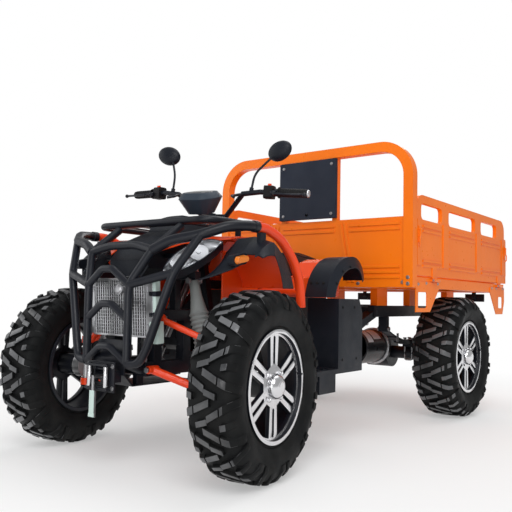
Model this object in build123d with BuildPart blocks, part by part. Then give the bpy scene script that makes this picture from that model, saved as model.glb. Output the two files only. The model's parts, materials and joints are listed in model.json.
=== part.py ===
from build123d import *
import math
import os

# Electric quad bike with a drop-side cargo bed.
# The front faces -Y, +X is the vehicle's left and +Z is up. The origin is on the
# floor, under the middle of the overall box. All sizes are in millimetres.

os.makedirs("parts", exist_ok=True)

# Wheels and axles
FRONT_AXLE_Y = -1098.5
WHEELBASE = 1830
WHEEL_CENTRE_X = 505
TYRE_RADIUS = 330
FRONT_TYRE_WIDTH = 195
REAR_TYRE_WIDTH = 240
BEAD_RADIUS = 188
RIM_WALL = 6
RIM_LIP_RADIUS = 196
RIM_LIP_THICKNESS = 8
BEAD_WIDTH_SHARE = 0.72
TREAD_PITCHES = 11
LUG_WIDTH = 26
SPOKE_PAIRS = 6
SPOKE_THICKNESS = 16
HUB_RADIUS = 44
SPINDLE_RADIUS = 20
DRUM_RADIUS = 50
SEAT_GAP = 0.3

# Steering, as parked: turned a little towards the vehicle's left
REST_STEER = 7
KINGPIN_X = 415
KINGPIN_RADIUS = 18
UPPER_BALL_Z = TYRE_RADIUS + 110
LOWER_BALL_Z = TYRE_RADIUS - 68
STEER_ARM_LENGTH = 110
STEER_ARM_INSET = 20
STEER_ARM_Z = TYRE_RADIUS - 16
COLUMN_TILT = 28.5
COLUMN_FOOT_Y = 13
COLUMN_FOOT_Z = 380
COLUMN_LENGTH = 674
COLUMN_RADIUS = 14

# Frame
RAIL_X = 110
RAIL_WIDTH = 40
LOWER_RAIL_Z = 365
UPPER_RAIL_Z = 560
SEAT_BASE = 745
SEAT_RAIL_Z = SEAT_BASE - 55
DECK_Z = SEAT_BASE - 13
REAR_RAIL_X = 250
REAR_RAIL_Z = 575
REAR_RAIL_HEIGHT = 60
SHOCK_TOP_X = 205
SHOCK_TOP_Z = 691
SHOCK_FOOT_X = 300
SHOCK_FOOT_Z = LOWER_BALL_Z + 58
SHOCK_DISTANCE = -8
TOWER_TUBE = 30
TOWER_TOP = SHOCK_TOP_Z + 20 + TOWER_TUBE / 2

# Cargo bed
BED_HALF_WIDTH = 595
HEADBOARD_FRONT = 1085
HEADBOARD_TOP = 1040
TAILGATE_REAR = 2520
PANEL_THICKNESS = 22
PANEL_BOTTOM = 757
PANEL_TOP = 1033
SIDE_RAIL_TOP = 1154
SIDE_RAIL_HEIGHT = 41
FLOOR_TOP = 750
FLOOR_PLATE = 3
FLOOR_FRAME_HEIGHT = 50
HOOP_TOP = 1415
HOOP_TUBE = 50
HOOP_BEND = 150
HINGE_Z = 738
HINGE_RADIUS = 8
HINGE_PIN_RADIUS = 4
HINGE_LENGTH = 60
HINGE_OFFSET = 13
HINGE_LEAF_TOP = 802
LEAF_SHEET = 5
EAR = 6
RIB_DEPTH = 5
DOOR_GAP = 6

# Bumper and guards
BUMPER_TUBE = 32
GUARD_TUBE = 38
GUARD_BAR = 30


def back(distance):
    """Return the Y of a place that lies this far behind the front axle."""
    return FRONT_AXLE_Y + distance


def place(x, distance, z):
    """Return a point from its X, its distance behind the front axle and its Z."""
    return (x, back(distance), z)


def finish(builder, name):
    """Name a finished piece and write it."""
    builder.part.label = name
    export_step(builder.part, f"parts/{name}.step")


def round_tube(points, diameter):
    """Add a round tube with mitred corners to the part being built."""
    with BuildLine() as path:
        Polyline(*points)
    with BuildSketch(Plane(origin=path.line @ 0, z_dir=path.line % 0)) as section:
        Circle(diameter / 2)
    sweep(sections=section.sketch, path=path.line, transition=Transition.RIGHT)


def bent_tube(points, diameter, bend):
    """Add a round tube with bent corners to the part being built."""
    with BuildLine() as path:
        FilletPolyline(*points, radius=bend)
    with BuildSketch(Plane(origin=path.line @ 0, z_dir=path.line % 0)) as section:
        Circle(diameter / 2)
    sweep(sections=section.sketch, path=path.line)


def box_tube(points, width, height, across=(1, 0, 0)):
    """Add a square or flat tube with mitred corners to the part being built."""
    with BuildLine() as path:
        Polyline(*points)
    start = Plane(origin=path.line @ 0, x_dir=across, z_dir=path.line % 0)
    with BuildSketch(start) as section:
        Rectangle(width, height)
    sweep(sections=section.sketch, path=path.line, transition=Transition.RIGHT)


def block(low, high, mode=Mode.ADD):
    """Add a block between two corners to the part being built, or cut it away."""
    with BuildSketch(Plane.XY.offset(low[2])) as base:
        with Locations(((low[0] + high[0]) / 2, (low[1] + high[1]) / 2)):
            Rectangle(high[0] - low[0], high[1] - low[1])
    extrude(base.sketch, amount=high[2] - low[2], mode=mode)


# Wheel: its own frame has the axle along X, with +X outwards
# Lug bars of half the tread: (share of the half width, share of a pitch) at the inner and the outer end
LUG_BARS = (((-0.16, 0.14), (1.02, -0.14)), ((0.04, 0.35), (1.02, 0.65)))
# Half outlines of the tyre: share of the half width, depth below the lugs' tips
CARCASS = ((0.72, 16), (0.96, 62))
LUG_TIPS = ((0.7, 0), (1, 44))


def half_outline(table, half, sign):
    """Return the points of a tyre outline on one side, as (X, radius)."""
    return [(sign * share * half, TYRE_RADIUS - depth) for share, depth in table]


def tread_lugs(width):
    """Return all the lug bars of a tyre, each cut to the form of the tread and turned to its place."""
    half = width / 2
    pitch = 2 * math.pi * TYRE_RADIUS / TREAD_PITCHES
    copies = []
    for sign, phase in ((-1, 0), (1, 0.5)):
        for (inner_share, inner_turn), (outer_share, outer_turn) in LUG_BARS:
            middle = (inner_turn + outer_turn) / 2
            inner_x = sign * inner_share * half
            outer_x = sign * outer_share * half
            lean = (outer_turn - middle) * pitch
            with BuildPart() as lug:
                with BuildSketch() as bar:
                    Polygon((inner_x, -lean - LUG_WIDTH / 2), (outer_x, lean - LUG_WIDTH / 2),
                            (outer_x, lean + LUG_WIDTH / 2), (inner_x, -lean + LUG_WIDTH / 2), align=None)
                extrude(bar.sketch, amount=TYRE_RADIUS)
                with BuildSketch(Plane.XZ.offset(-pitch / 2)) as crown:
                    Polygon(*half_outline(LUG_TIPS, half, sign), (sign * 0.9 * half, TYRE_RADIUS - 54),
                            (sign * 0.55 * half, TYRE_RADIUS - 22), (-sign * 0.2 * half, TYRE_RADIUS - 22),
                            (-sign * 0.2 * half, TYRE_RADIUS), align=None)
                extrude(crown.sketch, amount=pitch, mode=Mode.INTERSECT)
            for number in range(TREAD_PITCHES):
                copies.append(Rot(360 / TREAD_PITCHES * (number + phase + middle), 0, 0) * lug.part)
    return copies


def tyre_ring(width, lugs):
    """Return a tyre around the X axis: a carcass with two flats to each pitch of the tread, and its lugs."""
    half = width / 2
    bead = half * BEAD_WIDTH_SHARE
    outline = [(-bead, BEAD_RADIUS + 10), *half_outline(CARCASS, half, -1)[::-1], *half_outline(CARCASS, half, 1),
               (bead, BEAD_RADIUS + 10)]
    rings = []
    for x, radius in outline:
        with BuildSketch(Plane.YZ.offset(x)) as ring:
            RegularPolygon(radius, 2 * TREAD_PITCHES, major_radius=False, rotation=90 / TREAD_PITCHES)
        rings.append(ring.sketch)
    with BuildPart() as tyre:
        loft(rings, ruled=True)
        with BuildSketch(Plane.YZ.offset(-half)) as bore:
            Circle(BEAD_RADIUS)
        extrude(bore.sketch, amount=width, mode=Mode.SUBTRACT)
        add(lugs)
    return tyre.part


def rim_body(width):
    """Return a rim with split spoke pairs around the X axis."""
    bead = width * BEAD_WIDTH_SHARE / 2
    outer = BEAD_RADIUS - SEAT_GAP
    inner = outer - RIM_WALL
    face = bead - 8
    with BuildPart() as rim:
        with BuildSketch(Plane.XZ) as barrel:
            with BuildLine():
                Polyline(
                    (-bead - SEAT_GAP - RIM_LIP_THICKNESS, inner), (-bead - SEAT_GAP - RIM_LIP_THICKNESS, RIM_LIP_RADIUS),
                    (-bead - SEAT_GAP, RIM_LIP_RADIUS), (-bead - SEAT_GAP, outer), (bead + SEAT_GAP, outer),
                    (bead + SEAT_GAP, RIM_LIP_RADIUS), (bead + SEAT_GAP + RIM_LIP_THICKNESS, RIM_LIP_RADIUS),
                    (bead + SEAT_GAP + RIM_LIP_THICKNESS, inner), close=True)
            make_face()
        revolve(barrel.sketch, axis=Axis.X)
        with BuildSketch(Plane.YZ.offset(face)) as web:
            Circle(inner + 1)
            with PolarLocations(0, SPOKE_PAIRS):
                add(pocket_outline(inner - 8), mode=Mode.SUBTRACT)
            with PolarLocations(124, SPOKE_PAIRS, start_angle=180 / SPOKE_PAIRS):
                SlotCenterToCenter(84, 13, mode=Mode.SUBTRACT)
        extrude(web.sketch, amount=-SPOKE_THICKNESS)
        with BuildSketch(Plane.XZ) as hub:
            with BuildLine():
                nose = Line((bead + 24, 0), (bead + 24, 22))
                ThreePointArc(nose @ 1, (bead + 16, 36), (bead - 2, HUB_RADIUS))
                Line((bead - 2, HUB_RADIUS), (-40, HUB_RADIUS))
                Line((-40, HUB_RADIUS), (-40, SPINDLE_RADIUS + SEAT_GAP))
                Line((-40, SPINDLE_RADIUS + SEAT_GAP), (face - SPOKE_THICKNESS, SPINDLE_RADIUS + SEAT_GAP))
                Line((face - SPOKE_THICKNESS, SPINDLE_RADIUS + SEAT_GAP), (face - SPOKE_THICKNESS, 0))
                Line((face - SPOKE_THICKNESS, 0), nose @ 0)
            make_face()
        revolve(hub.sketch, axis=Axis.X)
    return rim.part


def pocket_outline(outer):
    """Return the opening between two spoke pairs, on the first axis of its plane."""
    inner = 72
    half_pair = 29
    sector = 180 / SPOKE_PAIRS
    wide = math.radians(sector - math.degrees(math.asin(half_pair / outer)))
    narrow = math.radians(sector - math.degrees(math.asin((half_pair - 5) / inner)))
    with BuildSketch() as pocket:
        with BuildLine():
            low = Line((inner * math.cos(narrow), -inner * math.sin(narrow)),
                       (outer * math.cos(wide), -outer * math.sin(wide)))
            arc = ThreePointArc(low @ 1, (outer, 0), (outer * math.cos(wide), outer * math.sin(wide)))
            high = Line(arc @ 1, (inner * math.cos(narrow), inner * math.sin(narrow)))
            Line(high @ 1, low @ 0)
        make_face()
    return pocket.sketch


FRONT_HUB = Location((WHEEL_CENTRE_X, FRONT_AXLE_Y, TYRE_RADIUS))
REAR_HUB = Location((WHEEL_CENTRE_X, back(WHEELBASE), TYRE_RADIUS))
LEFT_KINGPIN = Axis((KINGPIN_X, FRONT_AXLE_Y, 0), (0, 0, 1))
RIGHT_KINGPIN = Axis((-KINGPIN_X, FRONT_AXLE_Y, 0), (0, 0, 1))
KINGPINS = {"left": LEFT_KINGPIN, "right": RIGHT_KINGPIN}


def on_side(part, side):
    """Return a left piece as it is, or mirrored to the right."""
    return part if side == "left" else mirror(part, about=Plane.YZ)


front_lugs = tread_lugs(FRONT_TYRE_WIDTH)
rear_lugs = tread_lugs(REAR_TYRE_WIDTH)
front_tyre = FRONT_HUB * tyre_ring(FRONT_TYRE_WIDTH, front_lugs)
front_rim = FRONT_HUB * rim_body(FRONT_TYRE_WIDTH)
rear_tyre = REAR_HUB * tyre_ring(REAR_TYRE_WIDTH, rear_lugs)
rear_rim = REAR_HUB * rim_body(REAR_TYRE_WIDTH)
FRONT_AXLE = Axis((0, FRONT_AXLE_Y, TYRE_RADIUS), (1, 0, 0))
REAR_AXLE = Axis((0, back(WHEELBASE), TYRE_RADIUS), (1, 0, 0))
for side, kingpin in KINGPINS.items():
    # The right wheels stand half a turn on, so that both sides reach out equally far
    roll = 0 if side == "left" else 180
    for kind, front_piece, rear_piece in (("tyre", front_tyre, rear_tyre), ("rim", front_rim, rear_rim)):
        steered_piece = on_side(front_piece, side).rotate(FRONT_AXLE, roll).rotate(kingpin, REST_STEER)
        fixed_piece = on_side(rear_piece, side).rotate(REAR_AXLE, roll)
        with BuildPart() as front_wheel_piece:
            add(steered_piece)
        finish(front_wheel_piece, f"{kind}_front_{side}")
        with BuildPart() as rear_wheel_piece:
            add(fixed_piece)
        finish(rear_wheel_piece, f"{kind}_rear_{side}")


# Front knuckle: kingpin boss, spindle and steering arm, built straight ahead
with BuildPart() as straight_knuckle:
    with BuildSketch(Plane.XY.offset(LOWER_BALL_Z + 14 + SEAT_GAP)) as boss:
        with Locations((KINGPIN_X, FRONT_AXLE_Y)):
            Circle(KINGPIN_RADIUS)
    extrude(boss.sketch, amount=UPPER_BALL_Z - LOWER_BALL_Z - 28 - 2 * SEAT_GAP)
    with BuildSketch(Plane.YZ.offset(KINGPIN_X)) as spindle:
        with Locations((FRONT_AXLE_Y, TYRE_RADIUS)):
            Circle(SPINDLE_RADIUS)
    extrude(spindle.sketch, amount=WHEEL_CENTRE_X - KINGPIN_X + 30)
    with BuildSketch(Plane.YZ.offset(KINGPIN_X)) as drum:
        with Locations((FRONT_AXLE_Y, TYRE_RADIUS)):
            Circle(DRUM_RADIUS)
    extrude(drum.sketch, amount=38)
    block((KINGPIN_X - STEER_ARM_INSET - 14, FRONT_AXLE_Y, STEER_ARM_Z),
          (KINGPIN_X - STEER_ARM_INSET + 14, back(STEER_ARM_LENGTH + 14), STEER_ARM_Z + 12))
    with BuildSketch(Plane.XY.offset(STEER_ARM_Z)) as stud:
        with Locations((KINGPIN_X - STEER_ARM_INSET, back(STEER_ARM_LENGTH))):
            Circle(6)
    extrude(stud.sketch, amount=-28)

# Tie rod: an eye on the knuckle's stud and a rod across to the column's arm
with BuildPart() as straight_rod:
    with BuildSketch(Plane.XY.offset(STEER_ARM_Z - 24)) as eye:
        with Locations((KINGPIN_X - STEER_ARM_INSET, back(STEER_ARM_LENGTH))):
            Circle(14)
    extrude(eye.sketch, amount=20)
    with BuildSketch(Plane.YZ.offset(KINGPIN_X - STEER_ARM_INSET - 10)) as rod:
        with Locations((back(STEER_ARM_LENGTH), STEER_ARM_Z - 14)):
            Circle(8)
    extrude(rod.sketch, amount=STEER_ARM_INSET + 50 - KINGPIN_X)
    with BuildSketch(Plane.XY.offset(STEER_ARM_Z)) as hole:
        with Locations((KINGPIN_X - STEER_ARM_INSET, back(STEER_ARM_LENGTH))):
            Circle(6 + SEAT_GAP)
    extrude(hole.sketch, amount=-40, mode=Mode.SUBTRACT)

steer = math.radians(REST_STEER)
for side, kingpin in KINGPINS.items():
    turned_knuckle = on_side(straight_knuckle.part, side).rotate(kingpin, REST_STEER)
    with BuildPart() as knuckle:
        add(turned_knuckle)
    finish(knuckle, f"knuckle_{side}")
    inset = -STEER_ARM_INSET if side == "left" else STEER_ARM_INSET
    shift_x = inset * math.cos(steer) - STEER_ARM_LENGTH * math.sin(steer) - inset
    shift_y = inset * math.sin(steer) + STEER_ARM_LENGTH * math.cos(steer) - STEER_ARM_LENGTH
    shifted_rod = Location((shift_x, shift_y, 0)) * on_side(straight_rod.part, side)
    with BuildPart() as tie_rod:
        add(shifted_rod)
    finish(tie_rod, f"tie_rod_{side}")


# Steering column and all that turns with it, built straight ahead and then turned
COLUMN_DIRECTION = (0, math.sin(math.radians(COLUMN_TILT)), math.cos(math.radians(COLUMN_TILT)))
COLUMN_AXIS = Axis((0, back(COLUMN_FOOT_Y), COLUMN_FOOT_Z), COLUMN_DIRECTION)
column_foot = Plane(origin=place(0, COLUMN_FOOT_Y, COLUMN_FOOT_Z), x_dir=(1, 0, 0), z_dir=COLUMN_DIRECTION)

with BuildPart() as straight_column:
    with BuildSketch(column_foot) as shaft:
        Circle(COLUMN_RADIUS)
    extrude(shaft.sketch, amount=COLUMN_LENGTH)
    with BuildSketch(column_foot) as arm:
        with Locations((0, STEER_ARM_LENGTH / 2)):
            Rectangle(60, STEER_ARM_LENGTH + 30)
    extrude(arm.sketch, amount=10)
    with BuildSketch(column_foot.offset(COLUMN_LENGTH)) as clamp:
        Rectangle(90, 46)
    extrude(clamp.sketch, amount=-40)

BAR_RADIUS = 11
CLAMP_DISTANCE = 335
CLAMP_Z = 985
GRIP_LENGTH = 125
GRIP_RADIUS = 17
# Handlebar bends, from the clamp to the end: x, distance behind the axle, z
BAR_BENDS = [(0, CLAMP_DISTANCE, CLAMP_Z), (60, CLAMP_DISTANCE, CLAMP_Z), (170, 290, 1078), (250, 296, 1086),
             (455, 330, 1082)]
bar_end = Vector(place(*BAR_BENDS[-1]))
bar_outward = (bar_end - Vector(place(*BAR_BENDS[-2]))).normalized()
with BuildPart() as straight_bar:
    round_tube([place(*bend) for bend in BAR_BENDS], 2 * BAR_RADIUS)
    round_tube([place(170, 290, 1078), place(152, 236, 1062), place(175, 214, 1054)], 12)
    mirror(about=Plane.YZ)

with BuildPart() as straight_grips:
    with BuildSketch(Plane(origin=bar_end, z_dir=-bar_outward)) as grip:
        Circle(GRIP_RADIUS)
        Circle(BAR_RADIUS + SEAT_GAP, mode=Mode.SUBTRACT)
    extrude(grip.sketch, amount=GRIP_LENGTH)
    with BuildSketch(Plane(origin=bar_end - bar_outward * (GRIP_LENGTH + 22), z_dir=-bar_outward)) as switch_box:
        RectangleRounded(46, 54, 10)
        Circle(BAR_RADIUS + SEAT_GAP, mode=Mode.SUBTRACT)
    extrude(switch_box.sketch, amount=38)
    mirror(about=Plane.YZ)

POD_CENTRE = place(0, 228, 1034)
with BuildPart() as straight_pod:
    with BuildSketch(Plane(origin=POD_CENTRE, x_dir=(1, 0, 0), z_dir=(0, -0.25, 1)).offset(-46)) as pod_foot:
        RectangleRounded(120, 100, 40)
    with BuildSketch(Plane(origin=POD_CENTRE, x_dir=(1, 0, 0), z_dir=(0, -0.25, 1)).offset(20)) as pod_rim:
        RectangleRounded(205, 170, 70)
    with BuildSketch(Plane(origin=POD_CENTRE, x_dir=(1, 0, 0), z_dir=(0, -0.25, 1)).offset(44)) as pod_top:
        RectangleRounded(165, 130, 55)
    loft([pod_foot.sketch, pod_rim.sketch, pod_top.sketch], ruled=True)
    block(place(-18, 225, 985), place(18, CLAMP_DISTANCE - BAR_RADIUS - 2 * SEAT_GAP, 997))

MIRROR_CENTRE = place(296, 358, 1268)
mirror_face = Plane(origin=MIRROR_CENTRE, x_dir=(1, 0, 0.25), z_dir=(0.12, 1, 0))
with BuildPart() as straight_mirrors:
    with BuildSketch(mirror_face.offset(-26)) as back_shell:
        Ellipse(34, 22)
    with BuildSketch(mirror_face.offset(-12)) as middle_shell:
        Ellipse(54, 37)
    with BuildSketch(mirror_face.offset(4)) as front_shell:
        Ellipse(60, 43)
    loft([back_shell.sketch, middle_shell.sketch, front_shell.sketch], ruled=True)
    round_tube([place(208, 293, 1093.3), place(212, 306, 1165), place(270, 353, 1248)], 10)
    mirror(about=Plane.YZ)

STEERED = {"steering_column": straight_column, "handlebar": straight_bar, "grips": straight_grips,
           "instrument_pod": straight_pod, "mirrors": straight_mirrors}
for name, straight in STEERED.items():
    turned_piece = straight.part.rotate(COLUMN_AXIS, REST_STEER)
    with BuildPart() as steered:
        add(turned_piece)
    finish(steered, name)


# Chassis frame: lower and upper front rails, uprights, and the rear rails under the bed
SPRING_HALF = 350
KICK_END = WHEELBASE - SPRING_HALF - 150
KICK_START = KICK_END - 250
with BuildPart() as chassis_frame:
    for x in (RAIL_X, -RAIL_X):
        box_tube([place(x, -170, LOWER_RAIL_Z), place(x, KICK_START, LOWER_RAIL_Z)], RAIL_WIDTH, 50)
        box_tube([place(x, -146, UPPER_RAIL_Z), place(x, 240, UPPER_RAIL_Z), place(x, 420, SEAT_RAIL_Z), place(x, KICK_START - 20, SEAT_RAIL_Z)],
                 RAIL_WIDTH, 40)
        for distance, top in ((-110, UPPER_RAIL_Z), (190, UPPER_RAIL_Z), (KICK_START - 30, SEAT_RAIL_Z)):
            box_tube([place(x, distance, LOWER_RAIL_Z), place(x, distance, top)], RAIL_WIDTH, RAIL_WIDTH)
    for x in (REAR_RAIL_X, -REAR_RAIL_X):
        box_tube([place(x, KICK_END, REAR_RAIL_Z), place(x, 2440, REAR_RAIL_Z)], RAIL_WIDTH, REAR_RAIL_HEIGHT)
        inner = math.copysign(RAIL_X, x)
        box_tube([place(inner, KICK_START - 40, LOWER_RAIL_Z), place(x, KICK_END + 40, REAR_RAIL_Z)], 50, RAIL_WIDTH)
    for distance, half, z in ((-150, RAIL_X, LOWER_RAIL_Z), (190, RAIL_X, UPPER_RAIL_Z),
                              (KICK_START - 30, RAIL_X, SEAT_RAIL_Z), (KICK_START - 30, RAIL_X, LOWER_RAIL_Z),
                              (KICK_END + 30, REAR_RAIL_X, REAR_RAIL_Z), (2300, REAR_RAIL_X, REAR_RAIL_Z)):
        box_tube([place(-half, distance, z), place(half, distance, z)], RAIL_WIDTH, RAIL_WIDTH, across=(0, 1, 0))
    for x in (RAIL_X, -RAIL_X):
        box_tube([place(x, 45, LOWER_RAIL_Z), place(x, 45, UPPER_RAIL_Z)], RAIL_WIDTH, RAIL_WIDTH)
        box_tube([place(x, 190, UPPER_RAIL_Z), place(math.copysign(36, x), 226, 792)], 30, 30)
        tower_z = TOWER_TOP - TOWER_TUBE / 2
        box_tube([place(x, SHOCK_DISTANCE, UPPER_RAIL_Z), place(x, SHOCK_DISTANCE, tower_z),
                  place(math.copysign(SHOCK_TOP_X + 20, x), SHOCK_DISTANCE, tower_z)],
                 TOWER_TUBE, TOWER_TUBE, across=(0, 1, 0))
        for distance in (620, 980):
            block(place(x - RAIL_WIDTH / 2, distance, SEAT_RAIL_Z), place(x + RAIL_WIDTH / 2, distance + 60, SEAT_BASE - SEAT_GAP))
    for height, width in ((60, 2 * RAIL_X), (452, 110)):
        with BuildSketch(column_foot.offset(height)) as bush:
            Rectangle(width, 46)
        extrude(bush.sketch, amount=30)
    with BuildSketch(column_foot) as column_hole:
        Circle(COLUMN_RADIUS + SEAT_GAP)
    extrude(column_hole.sketch, amount=COLUMN_LENGTH, mode=Mode.SUBTRACT)
finish(chassis_frame, "chassis_frame")


# Front bumper: tubes named by where their bends lie on the left, mirrored to the right
LOW_NODE = place(111, -244, 388)
LOW_BEND = place(165, -238, 392)
OUTER_LOW = place(190, -228, 440)
OUTER_BEND = place(279, -194, 713)
CORNER = place(342, -126, 850)
MIDDLE_NODE = place(111, -245, 545)
CHEVRON_NODE = place(111, -245, 670)
UPPER_NODE = place(167, -191, 796)
RACK_NODE = place(172, -50.5, 896.8)
GUARD_START = place(450, 60, 890)
with BuildPart() as front_bumper:
    round_tube([LOW_NODE, CHEVRON_NODE, UPPER_NODE, RACK_NODE], BUMPER_TUBE)
    round_tube([LOW_NODE, LOW_BEND, OUTER_LOW, OUTER_BEND, CORNER], BUMPER_TUBE)
    round_tube([CHEVRON_NODE, OUTER_BEND], BUMPER_TUBE)
    round_tube([UPPER_NODE, place(235, -165, 832), CORNER, place(415, -60, 884), place(450, 10, 890), GUARD_START], GUARD_TUBE)
    round_tube([UPPER_NODE, place(70, -181, 819), place(0, -181, 819)], BUMPER_TUBE)
    for node, peak in ((LOW_NODE, 445), (MIDDLE_NODE, 600), (CHEVRON_NODE, 728)):
        round_tube([node, place(28, -252, peak), place(0, -252, peak)], BUMPER_TUBE - 4)
    round_tube([LOW_NODE, place(RAIL_X, -186, LOWER_RAIL_Z), place(RAIL_X, -170 - SEAT_GAP, LOWER_RAIL_Z)], BUMPER_TUBE)
    mirror(about=Plane.YZ)
finish(front_bumper, "front_bumper")

# Fender guards: the orange tubes that run down behind the front wheels
GUARD_BENDS = [(450, 60 + SEAT_GAP, 890), (450, 110, 890), (450, 202, 862), (450, 291, 787), (450, 343, 699), (450, 354, 598)]
with BuildPart() as fender_guards:
    round_tube([place(*bend) for bend in GUARD_BENDS], GUARD_TUBE)
    round_tube([place(450, 345, 658), place(RAIL_X + 20 + SEAT_GAP, 345, 658)], GUARD_BAR)
    mirror(about=Plane.YZ)
finish(fender_guards, "fender_guards")

# Front rack
RACK_HALF_WIDTH = 312
RACK_FRONT = -47
RACK_REAR = 255
RACK_Z = 917
RACK_TUBE = 28
DASH_Z = 851
with BuildPart() as front_rack:
    loop = [place(0, RACK_FRONT, RACK_Z), place(RACK_HALF_WIDTH, RACK_FRONT, RACK_Z),
            place(RACK_HALF_WIDTH, RACK_REAR, RACK_Z), place(0, RACK_REAR, RACK_Z)]
    bent_tube(loop, RACK_TUBE, 60)
    for x in (140, 225):
        box_tube([place(x, RACK_FRONT, RACK_Z), place(x, RACK_REAR, RACK_Z)], 22, 6)
    box_tube([place(0, 2, RACK_Z - 5), place(RACK_HALF_WIDTH - 5, 2, RACK_Z - 5)], 22, 6, across=(0, 1, 0))
    box_tube([place(225, 226, RACK_Z - 2), place(225, 226, DASH_Z + SEAT_GAP)], 26, 6)
    mirror(about=Plane.YZ)
finish(front_rack, "front_rack")

# Radiator: a leaning frame with upright slats, cross bars and a side tank
RADIATOR_LOW = 480
RADIATOR_HEIGHT = 215
RADIATOR_HALF = 148
RADIATOR_DEPTH = 34
SLAT_COUNT = 23
radiator_plane = Plane(origin=place(0, -182, RADIATOR_LOW), x_dir=(1, 0, 0), z_dir=(0, -1, -0.065))
with BuildPart() as radiator:
    with BuildSketch(radiator_plane) as frame:
        with Locations((0, RADIATOR_HEIGHT / 2)):
            Rectangle(2 * RADIATOR_HALF, RADIATOR_HEIGHT)
            Rectangle(2 * RADIATOR_HALF - 12, RADIATOR_HEIGHT - 14, mode=Mode.SUBTRACT)
    extrude(frame.sketch, amount=-RADIATOR_DEPTH)
    with BuildSketch(radiator_plane.offset(-6)) as slats:
        with Locations((0, RADIATOR_HEIGHT / 2)):
            with GridLocations(2 * (RADIATOR_HALF - 8) / (SLAT_COUNT - 1), 1, SLAT_COUNT, 1):
                Rectangle(5, RADIATOR_HEIGHT - 8)
    extrude(slats.sketch, amount=-12)
    with BuildSketch(radiator_plane.offset(-20)) as core:
        with Locations((0, RADIATOR_HEIGHT / 2)):
            Rectangle(2 * RADIATOR_HALF - 8, RADIATOR_HEIGHT - 8)
    extrude(core.sketch, amount=-10)
    with BuildSketch(radiator_plane) as tank:
        with Locations((RADIATOR_HALF + 14, RADIATOR_HEIGHT / 2), (-RADIATOR_HALF - 14, RADIATOR_HEIGHT / 2)):
            Rectangle(30, RADIATOR_HEIGHT - 10)
    extrude(tank.sketch, amount=-RADIATOR_DEPTH)
    for x in (-RAIL_X, RAIL_X):
        box_tube([place(x, -160, RADIATOR_LOW + 4), place(x, -160, LOWER_RAIL_Z + 25 + SEAT_GAP)], 24, 8)
finish(radiator, "radiator")

# Skid plate: a bent sheet round the front of the frame
SKID_HALF = 86
with BuildPart() as skid_plate:
    with BuildSketch(Plane.YZ.offset(-SKID_HALF)) as bend:
        with BuildLine():
            Polyline((back(-208), 468), (back(-232), 405), (back(-232), 345), (back(-190), 302), (back(55), 302),
                     (back(55), 307), (back(-188), 307), (back(-227), 347), (back(-227), 404), (back(-203), 468),
                     close=True)
        make_face()
    extrude(bend.sketch, amount=2 * SKID_HALF)
    for x in (-70, 70):
        block(place(x - 12, -165, 306), place(x + 12, -135, LOWER_RAIL_Z - RAIL_WIDTH / 2 - SEAT_GAP))
finish(skid_plate, "skid_plate")

# Winch: a fairlead with four rollers in front of its drum
FAIRLEAD_Y = -268
with BuildPart() as winch:
    with BuildSketch(Plane.XZ.offset(-back(FAIRLEAD_Y))) as fairlead:
        with Locations((0, 339)):
            Rectangle(150, 108)
            Rectangle(96, 70, mode=Mode.SUBTRACT)
    extrude(fairlead.sketch, amount=-6)
    for x in (-44, 44):
        round_tube([place(x, FAIRLEAD_Y - 12, 291), place(x, FAIRLEAD_Y - 12, 387)], 15)
    for z in (297, 381):
        block(place(-60, FAIRLEAD_Y - 22, z - 4), place(60, FAIRLEAD_Y, z + 4))
    round_tube([place(-36, FAIRLEAD_Y + 10, 312), place(36, FAIRLEAD_Y + 10, 312)], 13)
    round_tube([place(-36, FAIRLEAD_Y + 10, 366), place(36, FAIRLEAD_Y + 10, 366)], 13)
    round_tube([place(-60, FAIRLEAD_Y + 21, 339), place(60, FAIRLEAD_Y + 21, 339)], 26)
    for x in (-64, 64):
        block(place(x - 8, FAIRLEAD_Y, 320), place(x + 8, -232 - SEAT_GAP, 360))
    for x in (-36, 36):
        block(place(x - 4, FAIRLEAD_Y + 2, 304), place(x + 4, FAIRLEAD_Y + 20, 374))
finish(winch, "winch")

with BuildPart() as winch_hook:
    block(place(-14, FAIRLEAD_Y - 34, 197), place(14, FAIRLEAD_Y - 28, 290))
    round_tube([place(0, FAIRLEAD_Y - 31, 282), place(0, FAIRLEAD_Y - 31, 339), place(0, FAIRLEAD_Y + 8 - SEAT_GAP, 339)], 12)
finish(winch_hook, "winch_hook")

# Front cowl: the black centre cover that rises to the dash; it rests on the shock towers
COWL_HALF = 112
COWL_SEAT_Z = TOWER_TOP + SEAT_GAP
with BuildPart() as front_cowl:
    with BuildSketch(Plane.YZ.offset(-COWL_HALF)) as cowl:
        with BuildLine():
            Polyline((back(-150), 704), (back(-150), 765), (back(-90), 838), (back(30), 893), (back(48), 940))
            ThreePointArc((back(48), 940), (back(125), 966), (back(206), 946))
            Polyline((back(206), 946), (back(204), 850), (back(200), 800), (back(60), 760), (back(20), COWL_SEAT_Z),
                     (back(-35), COWL_SEAT_Z), (back(-60), 704),
                     (back(-150), 704))
        make_face()
    extrude(cowl.sketch, amount=2 * COWL_HALF)
    with BuildSketch(Plane.XZ.offset(-back(-160))) as front_outline:
        with BuildLine():
            edge = Polyline((COWL_HALF - 42, 700), (COWL_HALF - 8, 735), (COWL_HALF, 790), (COWL_HALF - 4, 850),
                            (COWL_HALF - 34, 925))
            ThreePointArc(edge @ 1, (0, 967), (34 - COWL_HALF, 925))
            Polyline((34 - COWL_HALF, 925), (4 - COWL_HALF, 850), (-COWL_HALF, 790), (8 - COWL_HALF, 735),
                     (42 - COWL_HALF, 700), (COWL_HALF - 42, 700))
        make_face()
    extrude(front_outline.sketch, amount=-400, mode=Mode.INTERSECT)
    with BuildSketch(column_foot.offset(250)) as column_way:
        Circle(COLUMN_RADIUS + 8)
    extrude(column_way.sketch, amount=500, mode=Mode.SUBTRACT)
finish(front_cowl, "front_cowl")

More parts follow.
